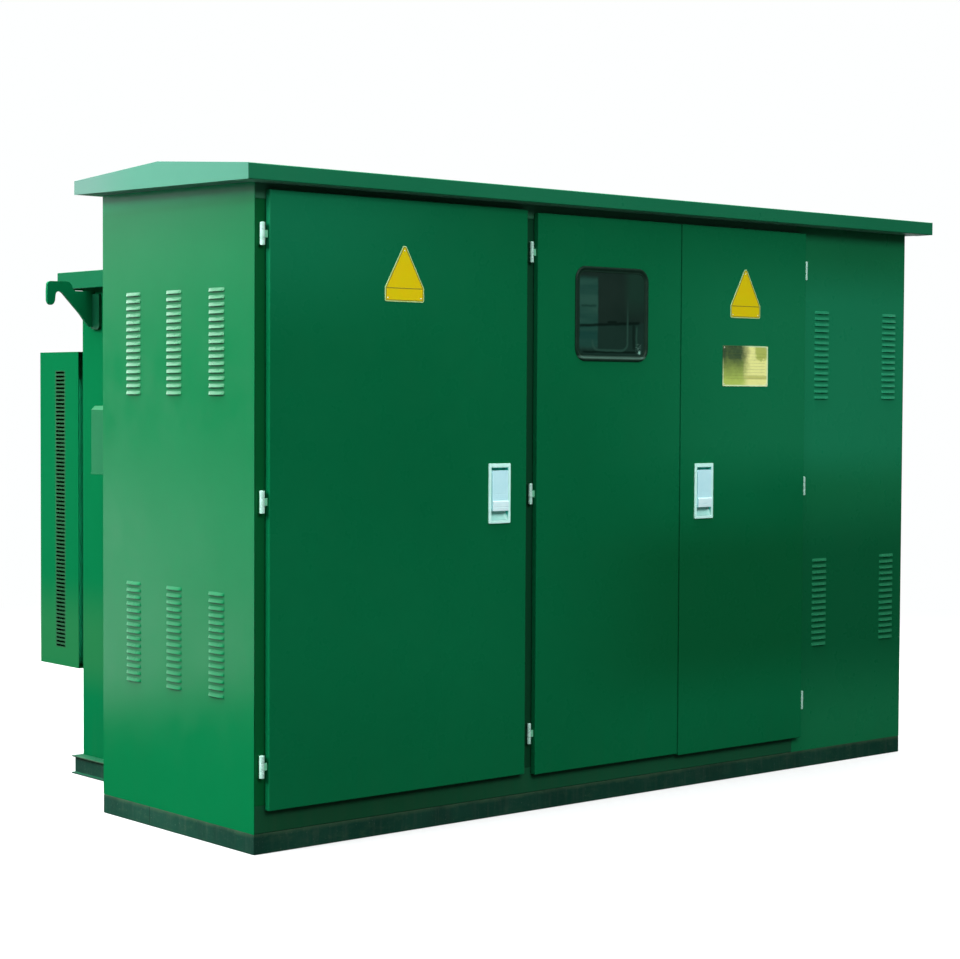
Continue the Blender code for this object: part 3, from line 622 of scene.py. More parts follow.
def strip(bm, pts, t, axis, lo, hi, radius=0.003, seg=4, mat=0, plumb=None, cuts=1):
    """A folded sheet: an open line of outer corners, rounded, with its
    thickness to the left, run along an axis."""
    P = fillet(pts, radius, seg)
    n = len(P)
    Q = []
    for i in range(n):
        ns = []
        if i > 0:
            d = (P[i] - P[i - 1]).normalized()
            ns.append(Vector((-d.y, d.x)))
        if i < n - 1:
            d = (P[i + 1] - P[i]).normalized()
            ns.append(Vector((-d.y, d.x)))
        m = sum(ns, Vector((0.0, 0.0))).normalized()
        if plumb is not None and i == (0 if plumb == 0 else n - 1):
            m = Vector((0.0, -1.0))
        Q.append(P[i] + m * (t / m.dot(ns[0])))
    ws = [lo + (hi - lo) * k / cuts for k in range(cuts + 1)]
    rows = []
    for w in ws:
        rows.append(([bm.verts.new(place(axis, p.x, p.y, w)) for p in P],
                     [bm.verts.new(place(axis, q.x, q.y, w)) for q in Q]))
    made = []
    for (p0, q0), (p1, q1) in zip(rows, rows[1:]):
        for i in range(n - 1):
            made.append((p0[i], p0[i + 1], p1[i + 1], p1[i]))
            made.append((q0[i + 1], q0[i], q1[i], q1[i + 1]))
        made.append((q0[0], p0[0], p1[0], q1[0]))
        made.append((p0[-1], q0[-1], q1[-1], p1[-1]))
    for i in range(n - 1):
        p, q = rows[0]
        made.append((p[i + 1], p[i], q[i], q[i + 1]))
        p, q = rows[-1]
        made.append((p[i], p[i + 1], q[i + 1], q[i]))
    for f in made:
        bm.faces.new(f).material_index = mat


def dome(bm, cx, y, cz, r, h, mat=0, sides=14):
    """A rivet head on a front face."""
    prof = [(r, 0.0004), (r, 0.0)] + [(r * math.cos(a), -h * math.sin(a)) for a in (0.35, 0.75, 1.15)] + [(0.0, -h)]
    lathe(bm, prof, (cx, y, cz), "y", sides, mat)


def finish_mesh(ob, angle=35.0, weighted=True):
    """Smooth shading with sharp edges kept, flat faces staying flat."""
    me = ob.data
    me.shade_smooth()
    me.set_sharp_from_angle(angle=math.radians(angle))
    if weighted:
        w = ob.modifiers.new("normals", "WEIGHTED_NORMAL")
        w.mode = "FACE_AREA"
        w.weight = 90
        w.keep_sharp = True
    return ob


def emit(name, bm, mats, body, stands_for=(), angle=35.0, thick=None, cut=None, recalc=True, weighted=True):
    """Turns a bmesh in cabinet coordinates into a piece of the model."""
    if recalc:
        bmesh.ops.recalc_face_normals(bm, faces=bm.faces)
    for v in bm.verts:
        v.co += Vector((OX, OY, 0.0))
    me = bpy.data.meshes.new(name)
    bm.to_mesh(me)
    bm.free()
    for m in (mats if isinstance(mats, (list, tuple)) else [mats]):
        me.materials.append(m)
    ob = bpy.data.objects.new(name, me)
    bpy.context.scene.collection.objects.link(ob)
    if thick:
        s = ob.modifiers.new("thickness", "SOLIDIFY")
        s.thickness = thick
        s.offset = -1.0
        s.use_even_offset = True
        s.use_quality_normals = True
        s.thickness_clamp = 1.0
    for c in cut or ():
        b = ob.modifiers.new("cut", "BOOLEAN")
        b.operation = "DIFFERENCE"
        b.solver = "EXACT"
        b.object = c
    if thick or cut:
        bpy.context.view_layer.update()
        ev = ob.evaluated_get(bpy.context.evaluated_depsgraph_get())
        new = bpy.data.meshes.new_from_object(ev)
        ob.modifiers.clear()
        ob.data = new
        new.name = name
        bpy.data.meshes.remove(me)
    for c in cut or ():
        bpy.data.objects.remove(c, do_unlink=True)
    finish_mesh(ob, angle, weighted)
    if stands_for:
        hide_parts(*stands_for)
    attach(ob, body)
    return ob


def cutter(name, outline, axis, lo, hi):
    bm = bmesh.new()
    prism(bm, outline, axis, lo, hi)
    bmesh.ops.recalc_face_normals(bm, faces=bm.faces)
    for v in bm.verts:
        v.co += Vector((OX, OY, 0.0))
    me = bpy.data.meshes.new(name)
    bm.to_mesh(me)
    bm.free()
    ob = bpy.data.objects.new(name, me)
    bpy.context.scene.collection.objects.link(ob)
    return ob


def carry(node, width, mat, body="root", segs=2, angle=25.0, name=None):
    """The CAD node's own shape with softened edges, in its place."""
    src = NODES[node].data
    bm = bmesh.new()
    vs = [bm.verts.new(Vector(v.co) - Vector((OX, OY, 0.0))) for v in src.vertices]
    for p in src.polygons:
        try:
            bm.faces.new([vs[i] for i in p.vertices])
        except ValueError:
            pass
    bmesh.ops.remove_doubles(bm, verts=bm.verts, dist=0.00002)
    bmesh.ops.dissolve_limit(bm, angle_limit=math.radians(0.6), use_dissolve_boundaries=False,
                             verts=bm.verts, edges=bm.edges)
    bevel_sharp(bm, width, segs, angle)
    return emit(name or node + "_finish", bm, mat, body, (node,))


# --------------------------------------------------- sheets with louvres
def louvre_stations(centres, half):
    ts = (0.0, 0.35, 0.60, 0.76, 0.87, 0.94, 0.98, 1.0)
    out = []
    for c in centres:
        out += [c + s * t * half for t in ts for s in ((1,) if t == 0 else (-1, 1))]
    return out


def pressed_sheet(bm, surface, runs, centres, width, tops, z_lo, z_hi, mat=0):
    """A sheet with rows of hooded louvres pressed out of it. Each hood starts
    flush at its top, slopes outwards to a small nose, and turns back under
    itself towards the slit."""
    half = width / 2
    runs = sorted({round(r, 6) for r in list(runs) + louvre_stations(centres, half)})

    def end_shape(r):
        for c in centres:
            t = abs(r - c) / half
            if t < 0.9999:
                return (1 - t ** 2.8) ** (1 / 2.2)
        return 0.0

    # height under the top, and reach as a share of the full depth
    hood = ((0.0114, 0.30), (0.0116, 0.62), (0.0115, 0.93), (0.0111, 1.0), (0.0103, 0.985), (0.0074, 0.74),
            (0.0042, 0.41), (0.0016, 0.13), (0.0, 0.0))
    rows = [(z_lo, None)]
    for top in sorted(tops):
        rows.append((top - LOUVRE_H, "cut"))
        rows += [(top - dz, reach) for dz, reach in hood]
    rows.append((z_hi, None))

    ends = [end_shape(r) for r in runs]
    grid = []
    wall = None
    for z, reach in rows:
        line = []
        for i, r in enumerate(runs):
            x, y, nx, ny = surface(r)
            bent = reach not in (None, "cut")
            if bent:
                h = LOUVRE_D * reach * ends[i]
                x, y = x + nx * h, y + ny * h
            if bent and ends[i] == 0.0 and reach in (0.30, 0.62, 0.93):
                line.append(wall[i])
            else:
                line.append(bm.verts.new((x, y, z)))
        if reach == "cut":
            wall = line
        grid.append(line)
    for j in range(len(rows) - 1):
        if rows[j][1] == "cut":
            continue
        for i in range(len(runs) - 1):
            vs = list(dict.fromkeys((grid[j][i], grid[j][i + 1], grid[j + 1][i + 1], grid[j + 1][i])))
            if len(vs) > 2:
                # hood faces above 0.9 m take material mat, lower ones mat * 2: a lighter copy (painted highlight) and a
                # duller copy (painted shade) of the hood paint
                pressed = rows[j][1] not in (None, 0.0) and max(ends[i], ends[i + 1]) > 0.0
                bm.faces.new(vs).material_index = (mat if rows[j][0] > 0.9 else mat * 2) if pressed else 0


LV_UP = [1.6800 - 0.0221 * k for k in range(15)]
LV_LOW = [0.7670 - 0.0219 * k for k in range(15)]
SIDE_COLS = (0.1980, 0.4330, 0.6675)
SIDE_W = 0.0840

bm = bmesh.new()
pressed_sheet(bm, lambda r: (0.0, r, -1.0, 0.0), (0.0, D), SIDE_COLS, SIDE_W, LV_UP + LV_LOW, 0.0613, 2.0, 1)
bmesh.ops.reverse_faces(bm, faces=bm.faces)
emit("left_wall_louvred", bm, [BODY, HOOD, HOOD_LOW], "root", ("left_wall",), thick=0.0024, recalc=False)

bm = bmesh.new()
pressed_sheet(bm, lambda r: (L, r, 1.0, 0.0), (0.0, D), SIDE_COLS, SIDE_W, LV_UP + LV_LOW, 0.0613, 2.0, 1)
emit("right_wall_louvred", bm, [BODY, HOOD, HOOD_LOW], "root", ("right_wall",), thick=0.0024, recalc=False)

# the fixed panel: its left edge is folded back, and it carries the last door
XF1 = 2.380
R_FOLD = 0.003


def panel_surface(r):
    if r >= XF1 + R_FOLD:
        return r, 0.0, 0.0, -1.0
    if r >= XF1 - 0.0018:
        a = (XF1 + R_FOLD - r) / (R_FOLD + 0.0018) * math.pi / 2
        return XF1 + R_FOLD - R_FOLD * math.sin(a), R_FOLD - R_FOLD * math.cos(a), -math.sin(a), -math.cos(a)
    return XF1, R_FOLD + (XF1 - 0.0018 - r), -1.0, 0.0


bm = bmesh.new()
runs = [XF1 + R_FOLD - (R_FOLD + 0.0018) * k / 5 for k in range(6)] + [XF1 - 0.0018 - 0.027, 2.9972]
PANEL_COLS = (2.5240, 2.9100)
PANEL_UP = [1.6775 - 0.0222 * k for k in range(15)]
PANEL_LOW = [0.7670 - 0.0222 * k for k in range(15)]
pressed_sheet(bm, panel_surface, runs, PANEL_COLS, 0.080, PANEL_UP + PANEL_LOW, 0.0613, 2.0, 1)
emit("front_panel_louvred", bm, [PANEL, HOOD_P, HOOD_P], "root", ("front_panel_fixed",), thick=0.0015, recalc=False)


# --------------------------------------------- folded frame, sill and header
# the sill takes the darker sill paint: painted shade
bm = bmesh.new()
strip(bm, [(0.030, 0.145), (0.0, 0.145), (0.0, 0.0613), (0.030, 0.0613)], T, "x", 0.0028, 2.3797)
emit("front_sill_folded", bm, FRAME, "root", ("front_sill",))
# the header takes the paler header paint: painted light
bm = bmesh.new()
strip(bm, [(0.030, 2.0), (0.0, 2.0), (0.0, 1.934), (0.030, 1.934)], T, "x", 0.0028, 2.3797)
emit("front_header_folded", bm, HEADER, "root", ("front_header",))


def leaves(bm, tag):
    """Painted frame leaves of three hinges: a plate and two webs each."""
    x = HINGE_X[tag]
    for z in HINGE_Z[tag]:
        slab(bm, x - 0.0075, x + 0.0075, -0.0020, 0.0008, z - 0.0335, z + 0.0335, 0.0006, 2)
        for s in (-1, 1):
            slab(bm, x - 0.002, x + 0.002, HINGE_Y + 0.0045, 0.0, z + s * 0.0228 - 0.0106, z + s * 0.0228 + 0.0106,
                 0.0004, 1)


# the posts and hinge leaves take the darker post paints: painted shade
for name, x0, x1, tag in (("front_post_left", 0.0028, 0.058, "hv"), ("front_post_middle", 1.031, 1.112, "lv_left")):
    bm = bmesh.new()
    strip(bm, [(x0, 0.030), (x0, 0.0), (x1, 0.0), (x1, 0.030)], T, "z", 0.1453, 1.9337)
    leaves(bm, tag)
    emit(name + "_folded", bm, POST_L if tag == "hv" else POST, "root", (name,))
bm = bmesh.new()
leaves(bm, "lv_right")
emit("fixed_panel_hinge_leaves", bm, POST, "root")


def barrel(bm, x, z, h0, h1, r):
    c = 0.0007
    lathe(bm, [(r - 0.0022, h0 - 0.0001), (r - c, h0), (r - 0.0002, h0 + c * 0.4), (r, h0 + c), (r, h1 - c),
               (r - 0.0002, h1 - c * 0.4), (r - c, h1), (r - 0.0022, h1 + 0.0001)], (x, HINGE_Y, z), "z", 28)


for tag, body in (("hv", "door_hv"), ("lv_left", "door_lv_left"), ("lv_right", "door_lv_right")):
    hx = HINGE_X[tag]
    x0, x1 = DOORS[tag][:2]
    left = hx < x0
    kr = KNUCKLE_R[tag]
    bm = bmesh.new()
    for z in HINGE_Z[tag]:
        barrel(bm, hx, z, 0.0121, 0.0334, kr)
        barrel(bm, hx, z, -0.0334, -0.0121, kr)
        for s in (-1, 1):
            prof = [(0.0038, s * 0.0333), (0.0037, s * 0.0339), (0.0026, s * 0.0343), (0.0, s * 0.0344)]
            lathe(bm, prof, (hx, HINGE_Y, z), "z", 20)
    emit("hinge_barrels_" + tag, bm, ZINC, "root")
    bm = bmesh.new()
    for z in HINGE_Z[tag]:
        barrel(bm, hx, z, -0.0114, 0.0114, kr)
        a, b = (hx + 0.0050, x0 + 0.0009) if left else (x1 - 0.0009, hx - 0.0050)
        slab(bm, a, b, HINGE_Y - 0.0019, HINGE_Y + 0.0019, z - 0.0112, z + 0.0112, 0.0005, 2, 1)
    emit("hinge_knuckles_" + tag, bm, [ZINC, TAB], body)


# ------------------------------------------------------------------ doors
def door_tray(tag, cuts):
    """Folded tray: flat skin, rounded bends, sides folded back."""
    x0, x1, z0, z1 = DOORS[tag]
    y0, y1 = -0.025, -0.005
    bm = bmesh.new()
    v = [bm.verts.new((x, y, z)) for y in (y0, y1) for x, z in ((x0, z0), (x1, z0), (x1, z1), (x0, z1))]
    bm.faces.new((v[0], v[1], v[2], v[3]))
    for i in range(4):
        j = (i + 1) % 4
        bm.faces.new((v[j], v[i], v[i + 4], v[j + 4]))
    bmesh.ops.recalc_face_normals(bm, faces=bm.faces)
    bm.normal_update()
    edges = [e for e in bm.edges if len(e.link_faces) == 2]
    bmesh.ops.bevel(bm, geom=edges, offset=0.0030, offset_type="OFFSET", segments=4, profile=0.5,
                    affect="EDGES", clamp_overlap=True)
    return emit("door_%s_skin" % tag, bm, DOOR, "door_" + tag, ("door_" + tag,),
                thick=0.0018, cut=cuts, recalc=False)


def lock_cut(tag):
    cx, cz = LOCKS[tag]
    return cutter("lock_cut_" + tag, [(cx - 0.0405, cz - 0.0888), (cx + 0.0405, cz - 0.0888),
                                      (cx + 0.0405, cz + 0.0888), (cx - 0.0405, cz + 0.0888)], "y", -0.04, 0.0)


door_tray("hv", [lock_cut("hv")])
door_tray("lv_left", [cutter("window_cut", rounded(*WIN_C, WIN_W - 0.024, WIN_H - 0.024, WIN_R - 0.012), "y", -0.04, 0.0)])
door_tray("lv_right", [lock_cut("lv")])


# ------------------------------------------------------- inspection window
def window_loop(inset, y):
    return [(u, y, v) for u, v in rounded(*WIN_C, WIN_W - 2 * inset, WIN_H - 2 * inset, WIN_R - inset, 8)]


# rubber section: one outer lobe, a shallow groove, and a thin sight edge
section = [(0.0000, -0.0254), (0.0004, -0.0272), (0.0016, -0.0290), (0.0036, -0.0302), (0.0058, -0.0304),
           (0.0080, -0.0300), (0.0100, -0.0288), (0.0118, -0.0274), (0.0134, -0.0266), (0.0150, -0.0265),
           (0.0166, -0.0268), (0.0180, -0.0268), (0.0189, -0.0264), (0.0192, -0.0256),
           (0.0192, -0.0195), (0.0160, -0.0190), (0.0123, -0.0192), (0.0123, -0.0254)]
bm = bmesh.new()
stack(bm, [window_loop(*s) for s in section], closed=True)
emit("window_gasket_moulded", bm, RUBBER, "door_lv_left", ("window_gasket",), angle=50)
bm = bmesh.new()
stack(bm, [window_loop(0.0194, -0.0226), window_loop(0.0194, -0.0258), window_loop(0.0200, -0.0264),
           window_loop(0.0208, -0.0265)], cap=True)
emit("window_pane", bm, GLASS, "door_lv_left", ("window_glass",))


# ------------------------------------------------------------------ locks
def lock(tag, body, lever_body):
    cx, cz = LOCKS[tag]
    # bezel: a frame with rolled edges round the pocket
    def loop(w, h, y, dz=0.0, r=0.0025):
        return [(u, y, v) for u, v in rounded(cx, cz + dz, w, h, r, 3)]
    pw, ph, pz = 0.0712, 0.1687, -0.00195
    # the walls are split level with the lever's lower edge
    loops = [loop(0.0908, 0.1922, -0.0254), loop(0.0908, 0.1922, -0.0288), loop(0.0900, 0.1914, -0.0300),
             loop(0.0884, 0.1898, -0.0304, 0, 0.0022), loop(pw + 0.0064, ph + 0.0064, -0.0305, pz, 0.0022),
             loop(pw + 0.0058, ph + 0.0058, -0.0301, pz, 0.0021), loop(pw + 0.0048, ph + 0.0048, -0.0301, pz, 0.0020),
             loop(pw + 0.0042, ph + 0.0042, -0.0305, pz, 0.0020), loop(pw + 0.0018, ph + 0.0018, -0.0303, pz, 0.0018),
             loop(pw + 0.0006, ph + 0.0006, -0.0294, pz, 0.0016), loop(pw, ph, -0.0275, pz, 0.0016),
             loop(pw, ph, -0.0120, pz, 0.0016), loop(pw - 0.004, ph - 0.004, -0.0097, pz, 0.0010)]
    bm = bmesh.new()
    rows = [[bm.verts.new(p) for p in lp] for lp in loops]
    n = len(rows[0])
    # the last two strips of wall and the pocket floor take the pocket paint: painted shade
    mats = [0, 0, 0, 0, 0, 0, 0, 0, 0, 0, 1, 1]
    for i, (p, q) in enumerate(zip(rows, rows[1:])):
        for k in range(n):
            bm.faces.new((p[k], q[k], q[(k + 1) % n], p[(k + 1) % n])).material_index = mats[i]
    bm.faces.new(rows[-1]).material_index = 1
    # pocket walls below the lip take the ramp paint: painted shade, less deep
    for f in bm.faces:
        if f.material_index == 1 and f.calc_center_median().z < cz - 0.0545:
            f.material_index = 2
    # closed box behind the door skin
    back = [[bm.verts.new(p) for p in loop(0.0802, 0.1768, y, 0, 0.0015)] for y in (-0.0254, -0.0076)]
    for k in range(n):
        j = (k + 1) % n
        bm.faces.new((back[0][k], back[0][j], back[1][j], back[1][k])).material_index = 3
        bm.faces.new((rows[0][k], rows[0][j], back[0][j], back[0][k])).material_index = 0
    bm.faces.new(back[1]).material_index = 3
    # finger recess: a scooped ramp under the lever's lip
    steps = 9
    prof = []
    for k in range(steps + 1):
        t = k / steps
        prof.append((-0.0108 - 0.0135 * t ** 1.7, cz - 0.0555 - (0.0863 - 0.0562) * t))
    ramp = [[bm.verts.new((cx + u * 0.0352, y, z)) for u in (-1.0, -0.93, -0.75, -0.3, 0.3, 0.75, 0.93, 1.0)]
            for y, z in prof]
    for p, q in zip(ramp, ramp[1:]):
        for k in range(len(p) - 1):
            bm.faces.new((p[k], p[k + 1], q[k + 1], q[k])).material_index = 2
    for i, line in enumerate(ramp):
        t = i / steps
        for k, share in ((0, 1.0), (1, 0.55), (2, 0.12), (5, 0.12), (6, 0.55), (7, 1.0)):
            rim = -0.0292
            line[k].co.y += (rim - line[k].co.y) * share * min(1.0, 0.10 + 1.1 * t)
    emit("lock_%s_housing" % tag, bm, [LOCK_FRAME, LOCK_DARK, LOCK_RAMP, LOCK_PLATE], body,
         ("lock_%s_body" % tag,), recalc=False)

    # lever: flat plate with a fine step, then a raised lip with a groove
    out = [(-0.0242, cz + 0.0735), (-0.0322, cz + 0.0735), (-0.0325, cz + 0.0725), (-0.0325, cz - 0.0015),
           (-0.0321, cz - 0.0018), (-0.0321, cz - 0.0028), (-0.0325, cz - 0.0031), (-0.0325, cz - 0.0220),
           (-0.0330, cz - 0.0236), (-0.0352, cz - 0.0258), (-0.0359, cz - 0.0272), (-0.0359, cz - 0.0428),
           (-0.0350, cz - 0.0434), (-0.0350, cz - 0.0448), (-0.0359, cz - 0.0454), (-0.0359, cz - 0.0544),
           (-0.0353, cz - 0.0560), (-0.0290, cz - 0.0562), (-0.0285, cz - 0.0480), (-0.0242, cz - 0.0478)]
    bm = bmesh.new()
    prism(bm, out, "x", cx - 0.0332, cx + 0.0332, 0.0)
    bm.normal_update()
    ends = [e for e in bm.edges if len(e.link_faces) == 2 and
            any(abs(f.normal.x) > 0.9 for f in e.link_faces) and
            not all(abs(f.normal.x) > 0.9 for f in e.link_faces)]
    bmesh.ops.bevel(bm, geom=ends, offset=0.0008, offset_type="OFFSET", segments=2, profile=0.5, affect="EDGES",
                    clamp_overlap=True)
    # the lip takes the lighter lip paint: painted highlight
    for f in bm.faces:
        f.material_index = 1 if f.calc_center_median().z < cz - 0.0238 else 0
    lathe(bm, [(0.0030, -0.0353), (0.0030, 0.0353)], (cx, -0.0275, cz + 0.0677), "x", 16)
    emit("lock_%s_lever_plate" % tag, bm, [LOCK_PLATE, LOCK_LIP], lever_body,
         ("lock_%s_lever" % tag,), recalc=True, angle=28)


lock("hv", "door_hv", "lock_hv_lever")
lock("lv", "door_lv_right", "lock_lv_lever")


# ------------------------------------------------- sign plates, rating plate
def inset_poly(pts, d):
    """A convex outline, counter-clockwise, moved inwards by d."""
    P = [Vector(p) for p in pts]
    n = len(P)
    lines = []
    for i in range(n):
        a, b = P[i], P[(i + 1) % n]
        t = (b - a).normalized()
        nrm = Vector((-t.y, t.x))
        lines.append((a + nrm * d, t))
    out = []
    for i in range(n):
        (p, t), (q, s) = lines[i - 1], lines[i]
        k = (q - p).cross(s) / t.cross(s)
        out.append(p + t * k)
    return out


def sign(tag, body):
    cx, z = SIGNS[tag]
    w = SIGN_W / 2
    base = [(cx - w, z), (cx + w, z), (cx + w, z + SIGN_BAND), (cx + 0.006, z + SIGN_H), (cx - 0.006, z + SIGN_H),
            (cx - w, z + SIGN_BAND)]
    radii = (0.007, 0.007, 0.010, 0.0075, 0.0075, 0.010)

    def loop(inset, y):
        pts = inset_poly(base, inset)
        return [(p.x, y, p.y) for p in fillet(pts, [max(0.0006, r - inset) for r in radii], 4, closed=True)]

    loops = [loop(0.0, -0.0254), loop(0.0, -0.0260), loop(0.0006, -0.0266), loop(0.0030, -0.0268),
             loop(0.0035, -0.02645), loop(0.0062, -0.02645), loop(0.0066, -0.02655)]
    bm = bmesh.new()
    stack(bm, loops, mats=(1, 1, 1, 2, 2, 2, 0), cap=False)
    # inner field and back
    tmp = [bm.verts.new(p) for p in loops[-1]]
    bm.faces.new(tmp).material_index = 0
    tmp = [bm.verts.new(p) for p in loops[0]]
    bm.faces.new(tmp).material_index = 1
    bmesh.ops.remove_doubles(bm, verts=bm.verts, dist=0.00001)
    # the line between the triangle and the band
    slab(bm, cx - w + 0.0066, cx + w - 0.0066, -0.02675, -0.0264, z + SIGN_BAND - 0.0034, z + SIGN_BAND - 0.0002,
         0.0001, 1, 2)
    for dx, dz in ((-w + 0.0120, 0.0115), (w - 0.0120, 0.0115), (0.0, SIGN_H - 0.0150)):
        dome(bm, cx + dx, -0.0265, z + dz, 0.0026, 0.0012, 3)
    emit("sign_plate_%s_enamel" % tag, bm, [YELLOW, RIM, LINE, RIVET], body,
         ("sign_plate_" + tag,), angle=40)


sign("hv", "door_hv")
sign("lv", "door_lv_right")

bm = bmesh.new()


def plate_loop(inset, y):
    return [(u, y, v) for u, v in rounded(*PLATE_C, PLATE_W - 2 * inset, PLATE_H - 2 * inset, 0.0045 - inset * 0.5, 4)]


stack(bm, [plate_loop(0.0, -0.0254), plate_loop(0.0, -0.0261), plate_loop(0.0004, -0.0265), plate_loop(0.0030, -0.0265),
           plate_loop(0.0034, -0.0262), plate_loop(0.0040, -0.0262)], cap=True)
for sx in (-1, 1):
    for sz in (-1, 1):
        dome(bm, PLATE_C[0] + sx * (PLATE_W / 2 - 0.0075), -0.0262, PLATE_C[1] + sz * (PLATE_H / 2 - 0.0075),
             0.0026, 0.0012, 1)
emit("rating_plate_engraved", bm, [BRASS, RIVET], "door_lv_right", ("rating_plate",), angle=40)


# ------------------------------------------------------------------- roof
RX0, RX1 = -0.073 + T + GAP, L + 0.073 - T - GAP
bm = bmesh.new()
strip(bm, [(0.412 - GAP / 2, 2.067), (-0.074, 2.0275), (-0.074, 1.980), (-GAP, 1.980)], T, "x", RX0, RX1, 0.0035, 5,
      plumb=0)
bm.normal_update()
# faces looking down under the fascia take the paler soffit paint: painted light
for f in bm.faces:
    f.material_index = 1 if abs(f.normal.z) > 0.98 and f.calc_center_median().z < 1.99 else 0
emit("roof_front_folded", bm, [ROOF, SOFFIT], "root", ("roof_front",))
bm = bmesh.new()
strip(bm, [(D + GAP, 1.998), (D + 0.054, 1.998), (D + 0.054, 2.042), (0.412 + GAP / 2, 2.067)], T, "x", RX0, RX1,
      0.0035, 5, plumb=3)
emit("roof_back_folded", bm, ROOF, "root", ("roof_back",))
# the gables take the paler gable paint: painted sheen
for side in ("left", "right"):
    carry("roof_gable_" + side, 0.0010, GABLE, segs=3)

# --------------------------------------------------------- base and skids
for n in ("base_front", "base_back", "base_left", "base_right", "skid_left", "skid_right"):
    carry(n, 0.0016, SKID if n.startswith("skid") else PLINTH, segs=3)
# the back sheet meets the side sheets without a slit
bm = bmesh.new()
slab(bm, 0.0017, L - 0.0017, D - 0.0025, D - 0.0002, 0.0613, 2.0, 0.0004, 1)
emit("back_wall_sheet", bm, BODY, "root", ("back_wall",))

# ------------------------------------------------------------------- tank
for n in ("tank_left_wall", "tank_right_wall", "tank_back_wall"):
    carry(n, 0.0012, TANK)
carry("tank_cover", 0.0022, COVER_TOP, segs=3)
for a in ("rear", "front"):
    for b in ("left", "right"):
        ob = carry("lifting_hook_%s_%s" % (a, b), 0.0016, [HOOK, PAD], segs=3)
        # faces less than 18 mm out from the tank wall take the darker pad paint: painted shade under the cover
        for f in ob.data.polygons:
            x = f.center.x - OX
            if min(x - (TX0 - 0.018), (L - TX0 + 0.018) - x) > 0.0:
                f.material_index = 1


# ------------------------------------------------------- slotted guard
def slotted_guard():
    gx0, gx1, gy0, gy1, gz0, gz1 = GUARD
    r = 0.004
    side = gy1 - gy0 - r
    arc = math.pi / 2 * r
    back = gx1 - gx0 - 2 * r
    marks = [0.0, side, side + arc, side + arc + back, side + 2 * arc + back, 2 * side + 2 * arc + back]

    def surface(s):
        if s <= marks[1]:
            return gx0, gy0 + s, -1.0, 0.0
        if s <= marks[2]:
            a = (s - marks[1]) / r
            return gx0 + r - r * math.cos(a), gy1 - r + r * math.sin(a), -math.cos(a), math.sin(a)
        if s <= marks[3]:
            return gx0 + r + (s - marks[2]), gy1, 0.0, 1.0
        if s <= marks[4]:
            a = (s - marks[3]) / r
            return gx1 - r + r * math.sin(a), gy1 - r + r * math.cos(a), math.sin(a), math.cos(a)
        return gx1, gy1 - r - (s - marks[4]), 1.0, 0.0

    pitch, sh, sw = 0.014173, 0.0075, 0.063
    zc = [0.4436 + pitch * k for k in range(71)]
    cols = [marks[0] + (1.7165 - gy0), marks[4] + (gy1 - r - 1.7165)]
    # the back columns stay clear of the corners
    cols += [marks[2] + (0.520 - gx0 - r) + 1.960 * k / 11 for k in range(12)]
    half = sw / 2
    rr = sh / 2
    edge = 0.004
    stops = set(marks) | {marks[1] + arc * k / 4 for k in range(5)} | {marks[3] + arc * k / 4 for k in range(5)}
    for c in cols:
        stops |= {c - half - edge, c - half + rr, c + half - rr, c + half + edge}
    stops = sorted({round(s, 6) for s in stops})
    z_lo, z_hi = gz0 + 0.002, gz1 - 0.002
    zs = sorted({round(z, 6) for c in zc for z in (c - pitch / 2, c, c + pitch / 2)} | {z_lo, z_hi})
    clean = [zs[0]]
    for z in zs[1:]:
        if z - clean[-1] > 0.0005:
            clean.append(z)
    zs = clean
    bm = bmesh.new()
    seen = {}

    def near(z):
        return min(zs, key=lambda q: abs(q - z))

    def vert(s, z):
        key = (round(s, 6), round(z, 5))
        if key not in seen:
            x, y = surface(s)[:2]
            seen[key] = bm.verts.new((x, y, z))
        return seen[key]

    def face(pts, mat=0):
        vs = list(dict.fromkeys(vert(s, z) for s, z in pts))
        if len(vs) > 2:
            bm.faces.new(vs).material_index = mat

    held = {}
    for c in cols:
        a, b = round(c - half - edge, 6), round(c + half + edge, 6)
        for z in zc:
            lo, mid, hi = near(z - pitch / 2), near(z), near(z + pitch / 2)
            xa, xb = round(c - half + rr, 6), round(c + half - rr, 6)
            outer = [(xa, lo), (xb, lo), (b, lo), (b, mid), (b, hi), (xb, hi), (xa, hi), (a, hi), (a, mid), (a, lo)]
            inner = []
            for k in range(5):
                t = -math.pi / 2 + math.pi * k / 4
                inner.append((xb + rr * math.cos(t), mid + rr * math.sin(t)))
            for k in range(5):
                t = math.pi / 2 + math.pi * k / 4
                inner.append((xa + rr * math.cos(t), mid + rr * math.sin(t)))
            # outer and inner start together under the slot's right end
            outer = outer[1:] + outer[:1]
            m = len(outer)
            for k in range(m):
                face([outer[k], outer[(k + 1) % m], inner[(k + 1) % m], inner[k]], 1)
            for i, s in enumerate(stops):
                if a - 1e-7 <= s < b - 1e-7:
                    held.setdefault(i, []).append((lo, hi))
    for i in range(len(stops) - 1):
        for z0, z1 in zip(zs, zs[1:]):
            if any(lo - 1e-7 <= z0 and z1 <= hi + 1e-7 for lo, hi in held.get(i, ())):
                continue
            face([(stops[i], z0), (stops[i + 1], z0), (stops[i + 1], z1), (stops[i], z1)])
    bmesh.ops.recalc_face_normals(bm, faces=bm.faces)
    # faces look outwards, away from the fins
    probe = max(bm.faces, key=lambda f: f.calc_center_median().y)
    if probe.normal.y < 0:
        bmesh.ops.reverse_faces(bm, faces=bm.faces)
    return emit("radiator_guard_slotted", bm, [TANK, TANK_BAR], "root", ("radiator_guard",), thick=0.002,
                recalc=False)


